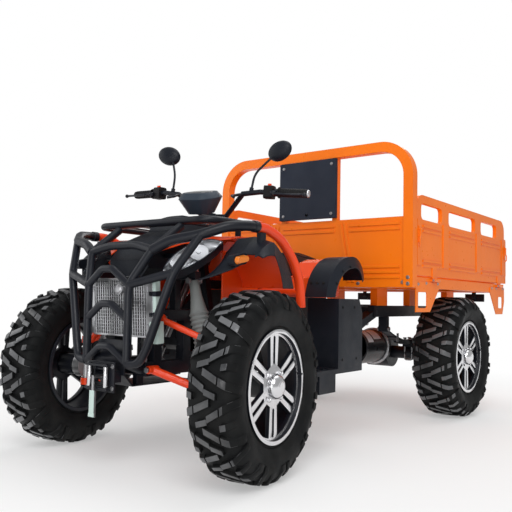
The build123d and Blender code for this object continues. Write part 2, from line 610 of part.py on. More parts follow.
# Headlamps: almond lenses that sweep back and up over the fenders
LAMP_PLANE = Plane(origin=place(275, -85, 790), x_dir=(0.558, 0.747, 0.362), z_dir=(0.501, -0.651, 0.571))
LAMP_FRONT = (-134, -30)
LAMP_REAR = (116, 4)
LAMP_DEPTH = 42
with BuildPart() as headlamps:
    with BuildSketch(LAMP_PLANE) as lens:
        with BuildLine():
            top = ThreePointArc(LAMP_FRONT, (-34, 38), (24, 44))
            ThreePointArc(top @ 1, (80, 36), LAMP_REAR)
            low = ThreePointArc(LAMP_REAR, (14, -40), (-44, -52))
            ThreePointArc(low @ 1, (-100, -50), LAMP_FRONT)
        make_face()
    extrude(lens.sketch, amount=-LAMP_DEPTH)
    block(place(COWL_HALF + SEAT_GAP, -75, 775), place(232, -45, 793))
    mirror(about=Plane.YZ)
finish(headlamps, "headlamps")


def arch_section(points, thickness, centre, x):
    """Return one section of a sheet that arches round a centre: five (distance, z) points along its top."""
    middle = Vector(back(centre[0]), centre[1])
    over = [Vector(back(distance), z) for distance, z in points]
    under = [point + (middle - point).normalized() * thickness for point in over]
    with BuildSketch(Plane.YZ.offset(x)) as band:
        with BuildLine():
            for line in (over, under):
                ThreePointArc(*line[:3])
                ThreePointArc(*line[2:])
            Line(over[0], under[0])
            Line(over[-1], under[-1])
        make_face()
    return band.sketch


# Front fenders: black sheets over the front wheels that turn down along their outer edge
FENDER_SHEET = 5
FENDER_EDGE_X = 512
# Sections from the lamp outwards: x and five (distance, z) points along the top
FRONT_FENDER = (
    (322, ((-112, 694), (-60, 712), (40, 800), (135, 806), (222, 684))),
    (360, ((-85, 706), (-40, 745), (60, 850), (145, 820), (230, 682))),
    (420, ((-40, 735), (0, 780), (85, 858), (160, 815), (238, 678))),
    (490, ((15, 785), (55, 818), (110, 835), (171, 788), (242, 673))),
    (FENDER_EDGE_X, ((15, 775), (50, 786), (87, 788), (121, 732), (142, 672))))
SIGNAL_X = 440
SIGNAL_SPOT = (back(-22), 766)
with BuildPart() as front_fenders:
    loft([arch_section(points, FENDER_SHEET, (0, TYRE_RADIUS), x) for x, points in FRONT_FENDER], ruled=True)
    block(place(440, 70, 822), place(460, 100, 890 - GUARD_TUBE / 2 - SEAT_GAP))
    with BuildSketch(Plane.YZ.offset(SIGNAL_X - 28)) as signal_pad:
        with Locations(SIGNAL_SPOT):
            SlotOverall(84, 40, rotation=12)
    extrude(signal_pad.sketch, amount=28)
    with BuildSketch(Plane.YZ.offset(SIGNAL_X)) as signal_recess:
        with Locations(SIGNAL_SPOT):
            SlotOverall(84, 40, rotation=12)
    extrude(signal_recess.sketch, amount=40, mode=Mode.SUBTRACT)
    mirror(about=Plane.YZ)
finish(front_fenders, "front_fenders")

with BuildPart() as turn_signals:
    with BuildSketch(Plane.YZ.offset(SIGNAL_X + SEAT_GAP)) as signal:
        with Locations(SIGNAL_SPOT):
            SlotOverall(66, 28, rotation=12)
    extrude(signal.sketch, amount=16, taper=14)
    mirror(about=Plane.YZ)
finish(turn_signals, "turn_signals")

# Body panels: hood, side walls behind the front wheels, rear fairings and the deck between them
PANEL_SHEET = 5
WALL_X = 250
FAIRING_X = 380
WALL_OUTLINE = ((100, 620), (100, 830), (125, 850), (235, 850), (300, (DASH_Z + DECK_Z) / 2 + 9), (380, DECK_Z + 8),
                (585, DECK_Z), (730, DECK_Z + 68), (900, DECK_Z + 72), (935, DECK_Z + 28), (935, 640), (420, 640),
                (300, 560))
FAIRING_TOP = ((372, DECK_Z - 22), (440, DECK_Z - 18), (585, DECK_Z), (640, DECK_Z + 63), (700, DECK_Z + 80),
               (770, DECK_Z + 62))
# Hood sections from the cowl outwards: x and four (distance, z) points along the top
HOOD = ((COWL_HALF + 3, ((-140, 792), (-62, 846), (60, 872), (224, DASH_Z))),
        (205, ((-70, 830), (-20, 858), (70, 868), (224, DASH_Z))),
        (345, ((40, 852), (90, 862), (150, 862), (224, DASH_Z))))


def sheet_section(points, thickness, x):
    """Return one section of a sheet that lies under a row of (distance, z) points, at one X."""
    over = [(back(distance), z) for distance, z in points]
    with BuildSketch(Plane.YZ.offset(x)) as section:
        Polygon(*over, *[(y, z - thickness) for y, z in over[::-1]], align=None)
    return section.sketch


with BuildPart() as body_panels:
    with BuildSketch(Plane.YZ.offset(WALL_X)) as wall:
        with BuildLine():
            Polyline(*[(back(distance), z) for distance, z in WALL_OUTLINE], close=True)
        make_face()
        with Locations((back(345), 658)):
            Circle(GUARD_BAR / 2 + 5, mode=Mode.SUBTRACT)
    extrude(wall.sketch, amount=PANEL_SHEET)
    add(loft([sheet_section(FAIRING_TOP, PANEL_SHEET, WALL_X), sheet_section(FAIRING_TOP, PANEL_SHEET, FAIRING_X)],
             ruled=True, mode=Mode.PRIVATE))
    with BuildSketch(Plane.YZ.offset(FAIRING_X - PANEL_SHEET)) as fairing:
        Polygon(*[(back(distance), z) for distance, z in FAIRING_TOP], (back(770), 646), (back(372), 646), align=None)
    extrude(fairing.sketch, amount=PANEL_SHEET)
    add(loft([sheet_section(points, PANEL_SHEET, x) for x, points in HOOD], ruled=True, mode=Mode.PRIVATE))
    mirror(about=Plane.YZ)
    block(place(-WALL_X - 1, 219, 846), place(WALL_X + 1, 236, DASH_Z))
    for x in (-RAIL_X, RAIL_X):
        block(place(x - 20, 460, SEAT_RAIL_Z + 20 + SEAT_GAP), place(x + 20, 500, DECK_Z - 1))
    with BuildSketch(Plane.YZ.offset(-WALL_X - 1)) as deck:
        deck_top = ((235, DASH_Z), (303, (DASH_Z + DECK_Z) / 2 + 9), (383, DECK_Z + 8), (560, DECK_Z))
        deck_line = [(back(distance), z) for distance, z in deck_top]
        Polygon(*deck_line, *[(y, z - PANEL_SHEET) for y, z in deck_line[::-1]], align=None)
    extrude(deck.sketch, amount=2 * WALL_X + 2)
    with BuildSketch(column_foot.offset(200)) as column_way:
        Circle(COLUMN_RADIUS + 8)
    extrude(column_way.sketch, amount=600, mode=Mode.SUBTRACT)
finish(body_panels, "body_panels")

# Seat: a padded saddle with rounded edges
SEAT_FRONT = 562
SEAT_REAR = 1075
SEAT_HALF = 145
with BuildPart() as seat:
    with BuildSketch(Plane.YZ.offset(-SEAT_HALF)) as cushion:
        with BuildLine():
            Polyline((back(SEAT_FRONT), SEAT_BASE), (back(SEAT_REAR), SEAT_BASE), (back(SEAT_REAR), SEAT_BASE + 95))
            ThreePointArc((back(SEAT_REAR), SEAT_BASE + 95), (back(860), SEAT_BASE + 88), (back(640), SEAT_BASE + 70))
            ThreePointArc((back(640), SEAT_BASE + 70), (back(585), SEAT_BASE + 50), (back(SEAT_FRONT), SEAT_BASE))
        make_face()
    extrude(cushion.sketch, amount=2 * SEAT_HALF)
    with BuildSketch(Plane.XZ.offset(-back(SEAT_FRONT))) as seat_front:
        with BuildLine():
            ThreePointArc((-SEAT_HALF, SEAT_BASE + 62), (0, SEAT_BASE + 99), (SEAT_HALF, SEAT_BASE + 62))
            Polyline((SEAT_HALF, SEAT_BASE + 62), (SEAT_HALF, SEAT_BASE + 30), (SEAT_HALF - 20, SEAT_BASE),
                     (20 - SEAT_HALF, SEAT_BASE), (-SEAT_HALF, SEAT_BASE + 30), (-SEAT_HALF, SEAT_BASE + 62))
        make_face()
    extrude(seat_front.sketch, amount=SEAT_FRONT - SEAT_REAR, mode=Mode.INTERSECT)
finish(seat, "seat")

# Rear fender flares: black arches beside the seat, with a lip along their outer edge
FLARE_INNER_X = 380
FLARE_CENTRE = (648, 660)
REAR_ARCH = ((488, 640), (548, 758), (690, 819), (788, 780), (808, 722))
REAR_LIP = ((528, 640), (583, 732), (682, 772), (752, 748), (766, 712))
# Sections from the body outwards: x and five (distance, z) points along the top
REAR_FLARE = ((FLARE_INNER_X + SEAT_GAP, REAR_ARCH), (486, REAR_ARCH), (502, REAR_LIP))
with BuildPart() as rear_fenders:
    loft([arch_section(points, FENDER_SHEET, FLARE_CENTRE, x) for x, points in REAR_FLARE], ruled=True)
    mirror(about=Plane.YZ)
finish(rear_fenders, "rear_fenders")

# Footwells: heel box with a bevelled rear corner, foot board and its bracket
HEEL_OUTLINE = ((565, 340), (770, 340), (770, 575), (742, 636), (565, 636))
with BuildPart() as footwells:
    with BuildSketch(Plane.YZ.offset(345)) as heel_box:
        Polygon(*[(back(distance), z) for distance, z in HEEL_OUTLINE], align=None)
    extrude(heel_box.sketch, amount=155)
    with BuildSketch(Plane.YZ.offset(340)) as heel_space:
        Polygon(*[(back(distance), z) for distance, z in HEEL_OUTLINE], align=None)
        offset(amount=-4, mode=Mode.REPLACE)
    extrude(heel_space.sketch, amount=156, mode=Mode.SUBTRACT)
    block(place(RAIL_X + 20 + SEAT_GAP, 400, 325), place(500, 770, 345))
    for distance in (440, 480, 520):
        block(place(350, distance, 345), place(480, distance + 14, 349))
    block(place(380, 420, 252), place(500, 545, 325))
    mirror(about=Plane.YZ)
finish(footwells, "footwells")

# Battery: one closed mass between the frame rails and the seat
with BuildPart() as battery_box:
    block(place(-165, 460, LOWER_RAIL_Z + 25 + SEAT_GAP), place(165, KICK_START - 80, SEAT_RAIL_Z - 22))
finish(battery_box, "battery_box")

# Rear axle: tube, differential, drums and spindles
MOTOR_X = 60
MOTOR_RADIUS = 95
MOTOR_REAR = WHEELBASE - 104
MOTOR_FRONT = MOTOR_REAR - 262
AXLE_TUBE_RADIUS = 36
DIFF_RADIUS = 88
with BuildPart() as rear_axle:
    with BuildSketch(Plane.YZ) as tube:
        with Locations((back(WHEELBASE), TYRE_RADIUS)):
            Circle(AXLE_TUBE_RADIUS)
    extrude(tube.sketch, amount=450)
    with BuildSketch(Plane.YZ.offset(432)) as drum:
        with Locations((back(WHEELBASE), TYRE_RADIUS)):
            Circle(105)
    extrude(drum.sketch, amount=24)
    with BuildSketch(Plane.YZ.offset(450)) as spindle:
        with Locations((back(WHEELBASE), TYRE_RADIUS)):
            Circle(SPINDLE_RADIUS)
    extrude(spindle.sketch, amount=WHEEL_CENTRE_X - 450 + 30)
    mirror(about=Plane.YZ)
    with BuildSketch(Plane.YZ.offset(MOTOR_X - 75)) as differential:
        with Locations((back(WHEELBASE), TYRE_RADIUS)):
            Circle(DIFF_RADIUS)
    extrude(differential.sketch, amount=150)
    with BuildSketch(Plane.XZ.offset(-back(MOTOR_REAR + SEAT_GAP))) as flange:
        with Locations((MOTOR_X, LOWER_RAIL_Z)):
            Circle(MOTOR_RADIUS + 10)
    extrude(flange.sketch, amount=-26)
finish(rear_axle, "rear_axle")

with BuildPart() as drive_motor:
    with BuildSketch(Plane.XZ.offset(-back(MOTOR_FRONT))) as motor:
        with Locations((MOTOR_X, LOWER_RAIL_Z)):
            Circle(MOTOR_RADIUS)
    extrude(motor.sketch, amount=MOTOR_FRONT - MOTOR_REAR)
finish(drive_motor, "drive_motor")

# Leaf springs: a pack of leaves on each side, on the axle tube and under the rear rails
SPRING_EYE_Z = 470
SPRING_SEAT_Z = TYRE_RADIUS + AXLE_TUBE_RADIUS + 12
LEAF = 8
rail_bottom = REAR_RAIL_Z - REAR_RAIL_HEIGHT / 2
with BuildPart() as leaf_springs:
    with BuildSketch(Plane.YZ.offset(REAR_RAIL_X - 25)) as leaves:
        for number, half in enumerate((SPRING_HALF, 260, 170)):
            rise = (SPRING_EYE_Z - SPRING_SEAT_Z - 2 * LEAF) * (half / SPRING_HALF) ** 2
            low = SPRING_SEAT_Z + (2 - number) * LEAF
            with BuildLine():
                under = ThreePointArc((back(WHEELBASE - half), low + rise), (back(WHEELBASE), low),
                                      (back(WHEELBASE + half), low + rise))
                over = ThreePointArc((back(WHEELBASE - half), low + rise + LEAF), (back(WHEELBASE), low + LEAF),
                                     (back(WHEELBASE + half), low + rise + LEAF))
                Line(under @ 0, over @ 0)
                Line(under @ 1, over @ 1)
            make_face()
    extrude(leaves.sketch, amount=50)
    for distance in (WHEELBASE - SPRING_HALF, WHEELBASE + SPRING_HALF):
        block(place(REAR_RAIL_X - 25, distance - 14, SPRING_EYE_Z - 6),
              place(REAR_RAIL_X + 25, distance + 14, rail_bottom - SEAT_GAP))
    block(place(REAR_RAIL_X - 30, WHEELBASE - 45, SPRING_SEAT_Z - 12 + SEAT_GAP),
          place(REAR_RAIL_X + 30, WHEELBASE + 45, SPRING_SEAT_Z + 3 * LEAF + 6))
    mirror(about=Plane.YZ)
finish(leaf_springs, "leaf_springs")

# Front arms: an upper and a lower wishbone on each side
EYE_RADIUS = 15
ARM_EYE_X = RAIL_X + RAIL_WIDTH / 2 + EYE_RADIUS
# Wishbones: height at the frame, height at the ball, front and rear leg, tube
WISHBONES = ((UPPER_RAIL_Z - 10, UPPER_BALL_Z, -124, 100, 24), (LOWER_RAIL_Z, LOWER_BALL_Z, -150, 110, 30))
with BuildPart() as front_arms:
    for inner_z, ball_z, front, rear, tube in WISHBONES:
        for distance in (front, rear):
            round_tube([place(ARM_EYE_X, distance, inner_z), place(KINGPIN_X - 22, 0, ball_z - 3)], tube)
            round_tube([place(ARM_EYE_X, distance - 22, inner_z), place(ARM_EYE_X, distance + 22, inner_z)],
                       2 * EYE_RADIUS - 2 * SEAT_GAP)
        with BuildSketch(Plane.XY.offset(ball_z - 14)) as ball:
            with Locations((KINGPIN_X, FRONT_AXLE_Y)):
                Circle(KINGPIN_RADIUS + 6)
        extrude(ball.sketch, amount=28)
    round_tube([place(SHOCK_FOOT_X, -66, SHOCK_FOOT_Z - 16), place(SHOCK_FOOT_X, 50, SHOCK_FOOT_Z - 16)], 24)
    mirror(about=Plane.YZ)
finish(front_arms, "front_arms")

# Front shocks: ribbed boots between the lower arms and the frame
SHOCK_TOP = place(SHOCK_TOP_X, SHOCK_DISTANCE, SHOCK_TOP_Z)
SHOCK_FOOT = place(SHOCK_FOOT_X, SHOCK_DISTANCE, SHOCK_FOOT_Z)
with BuildPart() as front_shocks:
    shock_line = Vector(SHOCK_TOP) - Vector(SHOCK_FOOT)
    shock_length = shock_line.length
    with BuildSketch(Plane(origin=SHOCK_FOOT, x_dir=shock_line, z_dir=(0, 1, 0))) as shock:
        with BuildLine():
            outline = [(0, 0), (0, 14), (60, 14)]
            ring = 17
            for number in range(12):
                outline += [(60 + number * ring, 32), (60 + (number + 0.5) * ring, 38)]
            outline += [(60 + 12 * ring, 32), (shock_length - 60, 22), (shock_length, 18), (shock_length, 0)]
            Polyline(*outline, close=True)
        make_face()
    revolve(shock.sketch, axis=Axis(SHOCK_FOOT, shock_line))
    mirror(about=Plane.YZ)
finish(front_shocks, "front_shocks")


def hinge_plane(centre, outward):
    """Return the frame of a hinge: x points outwards, y up, and the pin runs along z."""
    return Plane(origin=centre, x_dir=outward, z_dir=Vector(*outward).cross(Vector(0, 0, 1)))


def hinge_pin(centre, outward, reach):
    """Add a hinge's pin and its two ears, which reach back to the floor frame."""
    middle = hinge_plane(centre, outward)
    with BuildSketch(middle.offset(-HINGE_LENGTH / 2 - EAR - 1)) as pin:
        Circle(HINGE_PIN_RADIUS)
    extrude(pin.sketch, amount=HINGE_LENGTH + 2 * EAR + 2)
    for start in (-HINGE_LENGTH / 2 - EAR - 1, HINGE_LENGTH / 2 + 1):
        with BuildSketch(middle.offset(start)) as ear:
            with Locations((EAR - reach / 2, 0)):
                Rectangle(reach, 2 * EAR)
        extrude(ear.sketch, amount=EAR)


def hinge_barrel(centre, outward):
    """Add a hinge's barrel and its leaf, which lies on the door's outer face."""
    with BuildSketch(hinge_plane(centre, outward).offset(-HINGE_LENGTH / 2)) as barrel:
        Circle(HINGE_RADIUS)
        with Locations((-HINGE_OFFSET / 2, 1)):
            Rectangle(HINGE_OFFSET, 10)
        with Locations((LEAF_SHEET / 2 - HINGE_OFFSET, (HINGE_LEAF_TOP - HINGE_Z) / 2 - 2)):
            Rectangle(LEAF_SHEET, HINGE_LEAF_TOP - HINGE_Z + 4)
        Circle(HINGE_PIN_RADIUS + SEAT_GAP, mode=Mode.SUBTRACT)
    extrude(barrel.sketch, amount=HINGE_LENGTH)


# Cargo bed floor: plate, perimeter frame, cross members, corner brackets and hinge pins
FLOOR_FRONT = HEADBOARD_FRONT + HOOP_TUBE + SEAT_GAP
FLOOR_REAR = TAILGATE_REAR - PANEL_THICKNESS - DOOR_GAP
FRAME_TUBE = 45
FRAME_Z = FLOOR_TOP - FLOOR_PLATE - FLOOR_FRAME_HEIGHT / 2
FRAME_SIDE = BED_HALF_WIDTH - 10
SIDE_HINGES = (HEADBOARD_FRONT + 268, TAILGATE_REAR - 147)
TAIL_HINGES = (-420, 420)
SIDE_HINGE_X = BED_HALF_WIDTH - RIB_DEPTH + HINGE_OFFSET
TAIL_HINGE_DISTANCE = TAILGATE_REAR + HINGE_OFFSET
BRACKET_SHEET = 5
FLOOR_LOW = FLOOR_TOP - 22
# Corner brackets: the bed's end that each starts from, its outline as (distance from that end, drop
# below the floor frame) and its hole as (front, rear, low drop, high drop)
CORNER_BRACKETS = (
    (FLOOR_FRONT, ((0, 0), (284, 0), (284, 31), (168, 148), (0, 148)), (22, 130, 128, 51)),
    (FLOOR_REAR, ((-273, 0), (-2, 0), (-2, 88), (-37, 166), (-161, 166), (-273, 31)), (-120, -41, 128, 58)))
with BuildPart() as bed_floor:
    block(place(-FRAME_SIDE, FLOOR_FRONT, FLOOR_TOP - FLOOR_PLATE), place(FRAME_SIDE, FLOOR_REAR, FLOOR_TOP))
    for x in (FRAME_SIDE - FRAME_TUBE / 2, REAR_RAIL_X, -REAR_RAIL_X, FRAME_TUBE / 2 - FRAME_SIDE):
        box_tube([place(x, FLOOR_FRONT, FRAME_Z), place(x, FLOOR_REAR, FRAME_Z)], FRAME_TUBE, FLOOR_FRAME_HEIGHT)
    for distance in (FLOOR_FRONT + FRAME_TUBE / 2, 1600, 2060, FLOOR_REAR - FRAME_TUBE / 2):
        box_tube([place(-FRAME_SIDE, distance, FRAME_Z), place(FRAME_SIDE, distance, FRAME_Z)], FRAME_TUBE,
                 FLOOR_FRAME_HEIGHT, across=(0, 1, 0))
    for x in (-REAR_RAIL_X, REAR_RAIL_X):
        for distance in (KICK_END + 90, WHEELBASE, 2400):
            block(place(x - 20, distance - 60, REAR_RAIL_Z + REAR_RAIL_HEIGHT / 2 + SEAT_GAP),
                  place(x + 20, distance + 60, FRAME_Z - FLOOR_FRAME_HEIGHT / 2))
    for side_x in (FRAME_SIDE, -FRAME_SIDE - BRACKET_SHEET):
        for bed_end, outline, (hole_front, hole_rear, hole_low, hole_high) in CORNER_BRACKETS:
            with BuildSketch(Plane.YZ.offset(side_x)) as bracket:
                with BuildLine():
                    Polyline(*[(back(bed_end + step), FLOOR_LOW - drop) for step, drop in outline], close=True)
                make_face()
                with Locations((back(bed_end + (hole_front + hole_rear) / 2), FLOOR_LOW - (hole_low + hole_high) / 2)):
                    RectangleRounded(hole_rear - hole_front, hole_low - hole_high, 10, mode=Mode.SUBTRACT)
            extrude(bracket.sketch, amount=BRACKET_SHEET)
    for end in (-1, 1):
        for distance in SIDE_HINGES:
            hinge_pin(place(end * SIDE_HINGE_X, distance, HINGE_Z), (end, 0, 0), SIDE_HINGE_X - FRAME_SIDE + EAR + 2)
    for x in TAIL_HINGES:
        hinge_pin(place(x, TAIL_HINGE_DISTANCE, HINGE_Z), (0, 1, 0), TAIL_HINGE_DISTANCE - FLOOR_REAR + EAR + 2)
finish(bed_floor, "bed_floor")

# Headboard: pressed sheet in a square hoop with two inner posts
HOOP_X = BED_HALF_WIDTH - HOOP_TUBE / 2
HOOP_DISTANCE = HEADBOARD_FRONT + HOOP_TUBE / 2
INNER_POST_X = 160
INNER_POST = 30
HEADBOARD_LOW = 697
HIGH_ROWS = ((976, 988), (1002, 1014))
LOW_ROWS = ((740, 752), (766, 778), (792, 804))
# Pressed ribs of the headboard: low x, high x and their rows
HEADBOARD_RIBS = ((-160, 160, HIGH_ROWS), (-525, -290, LOW_ROWS), (290, 525, LOW_ROWS), (-525, -248, HIGH_ROWS),
                  (248, 525, HIGH_ROWS))
with BuildPart() as headboard:
    with BuildLine() as hoop_path:
        FilletPolyline(place(-HOOP_X, HOOP_DISTANCE, HEADBOARD_LOW),
                       place(-HOOP_X, HOOP_DISTANCE, HOOP_TOP - HOOP_TUBE / 2),
                       place(HOOP_X, HOOP_DISTANCE, HOOP_TOP - HOOP_TUBE / 2),
                       place(HOOP_X, HOOP_DISTANCE, HEADBOARD_LOW), radius=HOOP_BEND)
    with BuildSketch(Plane(origin=hoop_path.line @ 0, x_dir=(1, 0, 0), z_dir=(0, 0, 1))) as hoop_section:
        Rectangle(HOOP_TUBE, HOOP_TUBE)
    sweep(hoop_section.sketch, path=hoop_path.line)
    block(place(-HOOP_X, HEADBOARD_FRONT + 8, HEADBOARD_LOW),
          place(HOOP_X, HEADBOARD_FRONT + 8 + PANEL_THICKNESS, HEADBOARD_TOP))
    for low_x, high_x, rows in HEADBOARD_RIBS:
        for low, high in rows:
            block(place(low_x, HEADBOARD_FRONT + 8 - RIB_DEPTH, low), place(high_x, HEADBOARD_FRONT + 8, high))
    for end in (-1, 1):
        for top_x in (188, 212):
            with BuildSketch(Plane.XZ.offset(-back(HEADBOARD_FRONT + 8))) as slant:
                with BuildLine():
                    Polyline((end * top_x, 1022), (end * (top_x + 14), 1022), (end * (top_x + 66), 722),
                             (end * (top_x + 52), 722), close=True)
                make_face()
            extrude(slant.sketch, amount=RIB_DEPTH)
    for x in (-INNER_POST_X, INNER_POST_X):
        block(place(x - INNER_POST / 2, HEADBOARD_FRONT + 8, HEADBOARD_TOP),
              place(x + INNER_POST / 2, HEADBOARD_FRONT + 8 + INNER_POST, HOOP_TOP - HOOP_TUBE + 5))
finish(headboard, "headboard")

with BuildPart() as backrest_board:
    block(place(-175, HEADBOARD_FRONT - 12, 1052), place(175, HEADBOARD_FRONT + 8 - SEAT_GAP, HOOP_TOP - HOOP_TUBE - 4))
finish(backrest_board, "backrest_board")

# Drop sides: a pressed panel under a rail with three openings, hung on two hinges
SIDE_FRONT = HEADBOARD_FRONT + HOOP_TUBE + DOOR_GAP
SIDE_REAR = FLOOR_REAR
SIDE_OPENINGS = ((1192, 1457), (1548, 1955), (2050, 2337))
SIDE_FACE = BED_HALF_WIDTH - RIB_DEPTH
# Pressed ribs stand out between the uprights, in rows given as (low, high)
RIB_ROWS = ((800, 812), (824, 836), (972, 984), (996, 1008))
SIDE_POSTS = ((SIDE_FRONT, 1188), (1466, 1538), (1966, 2038), (SIDE_REAR - 60, SIDE_REAR))
SIDE_RIBS = [(front, rear, PANEL_BOTTOM + 50, PANEL_TOP - 2) for front, rear in SIDE_POSTS]
for before, after in zip(SIDE_POSTS, SIDE_POSTS[1:]):
    SIDE_RIBS += [(before[1] + 22, after[0] - 22, low, high) for low, high in RIB_ROWS]
with BuildPart() as left_side:
    with BuildSketch(Plane.YZ.offset(SIDE_FACE)) as side_sheet:
        with BuildLine():
            FilletPolyline((back(SIDE_FRONT), PANEL_BOTTOM + 50), (back(SIDE_FRONT), SIDE_RAIL_TOP),
                           (back(SIDE_REAR), SIDE_RAIL_TOP), (back(SIDE_REAR), PANEL_BOTTOM + 50), radius=70)
            Polyline((back(SIDE_REAR), PANEL_BOTTOM + 50), (back(SIDE_REAR), PANEL_BOTTOM),
                     (back(SIDE_FRONT), PANEL_BOTTOM), (back(SIDE_FRONT), PANEL_BOTTOM + 50))
        make_face()
        for opening_front, opening_rear in SIDE_OPENINGS:
            with Locations((back((opening_front + opening_rear) / 2), (PANEL_TOP + SIDE_RAIL_TOP - SIDE_RAIL_HEIGHT) / 2)):
                RectangleRounded(opening_rear - opening_front, SIDE_RAIL_TOP - SIDE_RAIL_HEIGHT - PANEL_TOP, 25,
                                 mode=Mode.SUBTRACT)
    extrude(side_sheet.sketch, amount=-PANEL_THICKNESS)
    for distance in SIDE_HINGES:
        hinge_barrel(place(SIDE_HINGE_X, distance, HINGE_Z), (1, 0, 0))
    for front, rear, low, high in SIDE_RIBS:
        block(place(SIDE_FACE, front, low), place(SIDE_FACE + RIB_DEPTH, rear, high))
right_side_part = mirror(left_side.part, about=Plane.YZ)
with BuildPart() as right_side:
    add(right_side_part)
finish(left_side, "side_left")
finish(right_side, "side_right")

TAIL_HALF = BED_HALF_WIDTH - RIB_DEPTH
TAIL_POSTS = ((-TAIL_HALF, 60 - TAIL_HALF), (-230, -170), (170, 230), (TAIL_HALF - 60, TAIL_HALF))
TAIL_RIBS = [(low_x, high_x, PANEL_BOTTOM + 50, HEADBOARD_TOP - 8) for low_x, high_x in TAIL_POSTS]
for before, after in zip(TAIL_POSTS, TAIL_POSTS[1:]):
    TAIL_RIBS += [(before[1] + 22, after[0] - 22, low, high) for low, high in RIB_ROWS]
with BuildPart() as tailgate:
    block(place(-TAIL_HALF, TAILGATE_REAR - PANEL_THICKNESS, PANEL_BOTTOM),
          place(TAIL_HALF, TAILGATE_REAR, HEADBOARD_TOP))
    for low_x, high_x, low, high in TAIL_RIBS:
        block(place(low_x, TAILGATE_REAR, low), place(high_x, TAILGATE_REAR + RIB_DEPTH, high))
    for x in TAIL_HINGES:
        hinge_barrel(place(x, TAIL_HINGE_DISTANCE, HINGE_Z), (0, 1, 0))
finish(tailgate, "tailgate")
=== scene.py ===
# %% [markdown]
# # Electric quad bike with a drop-side cargo bed
# The frame brings the vehicle's real construction: tubes, sheets, hinges, wheels and the
# bodies that move. This file gives it its looks. It dresses every piece in a finish, puts
# lugged tyres and split-spoke rims on the wheels, pads the seat, and adds the small things
# that a maker would bolt on. All lengths are in metres, and the front faces -Y.

# %% Load the frame
import bmesh
import bpy
import json
import math
from mathutils import Matrix, Vector


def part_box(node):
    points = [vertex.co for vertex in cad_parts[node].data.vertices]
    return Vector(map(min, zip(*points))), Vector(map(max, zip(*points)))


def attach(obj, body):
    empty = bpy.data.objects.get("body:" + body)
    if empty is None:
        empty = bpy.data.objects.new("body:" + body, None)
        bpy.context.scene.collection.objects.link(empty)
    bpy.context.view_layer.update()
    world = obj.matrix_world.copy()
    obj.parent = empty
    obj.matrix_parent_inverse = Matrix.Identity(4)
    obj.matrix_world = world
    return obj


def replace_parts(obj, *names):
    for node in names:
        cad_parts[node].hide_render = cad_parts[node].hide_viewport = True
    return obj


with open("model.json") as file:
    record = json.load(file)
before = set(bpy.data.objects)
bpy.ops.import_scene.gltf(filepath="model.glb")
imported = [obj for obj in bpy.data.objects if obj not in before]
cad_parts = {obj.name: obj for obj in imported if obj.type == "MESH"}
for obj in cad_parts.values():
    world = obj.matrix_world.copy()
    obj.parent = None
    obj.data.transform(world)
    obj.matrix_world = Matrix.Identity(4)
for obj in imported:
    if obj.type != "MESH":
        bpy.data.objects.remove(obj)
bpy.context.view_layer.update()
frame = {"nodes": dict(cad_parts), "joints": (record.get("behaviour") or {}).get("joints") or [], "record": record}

joints = {joint["name"]: joint for joint in frame["joints"]}

# %% [markdown]
# ## Places on the vehicle
# Makers measure a vehicle from its front axle, so places here are given as the distance to
# the left of the middle, the distance behind the front axle and the height, in millimetres.
# The axle itself is read from the frame, so nothing has to be fitted afterwards.

# %% Places
MM = 0.001
AXLE_Y = joints["knuckle_left_steer"]["pos_m"][1]
STEER_REST = math.radians(7)
SIDES = (1, -1)


def place(x, distance, z):
    """A point from millimetres: left, behind the front axle, up."""
    return Vector((x * MM, AXLE_Y + distance * MM, z * MM))


def about(centre, matrix):
    """A matrix that acts about a point."""
    return Matrix.Translation(centre) @ matrix @ Matrix.Translation(-centre)


def axes(across, along, out, origin=(0, 0, 0)):
    """The matrix of a local frame from its three axes and its origin."""
    return Matrix.Translation(origin) @ Matrix((across, along, out)).transposed().to_4x4()


print("front axle at y", round(AXLE_Y, 3))

# %% [markdown]
# ## The camera
# The photograph was taken from the front left, from a little over two metres away at the
# height of the headlamps. The camera stands there, turned so far round and tipped so far up,
# with a small roll, and its lens gives the same perspective.

# %% Camera
CAMERA_PLACE = place(1908.6, -1848.5, 628.6)
CAMERA_YAW, CAMERA_PITCH, CAMERA_ROLL = 0.6539, 0.0645, 0.02
FOCAL_IN_FRAMES = 662.44 / 512
SENSOR_MM = 36

# A camera at rest looks down: it is tipped up to the horizon and a little more, then turned
level = Matrix.Rotation(CAMERA_YAW, 4, "Z") @ Matrix.Rotation(math.pi / 2 + CAMERA_PITCH, 4, "X")
camera_data = bpy.data.cameras.new("camera")
camera_data.sensor_width = SENSOR_MM
camera_data.lens = FOCAL_IN_FRAMES * SENSOR_MM
camera_data.clip_end = 60
camera = bpy.data.objects.new("camera", camera_data)
camera.matrix_world = Matrix.Translation(CAMERA_PLACE) @ level @ Matrix.Rotation(CAMERA_ROLL, 4, "Z")
scene = bpy.context.scene
scene.collection.objects.link(camera)
scene.camera = camera
print("camera at", [round(v, 3) for v in CAMERA_PLACE])

# %% [markdown]
# ## Studio
# A pale floor catches the shadow, and a white world shows behind it. Light Path lets the
# camera and what shows through glass see white while the object itself is lit more gently.
# Five lamps do the rest: a key lamp at the front left, a weaker one from the right, a top
# lamp and a rear lamp that draw the edges of the bed, and a low one that reaches under it.

# %% Floor, world and lamps
WORLD_LIGHT = 0.42
FLOOR_HALF = 14
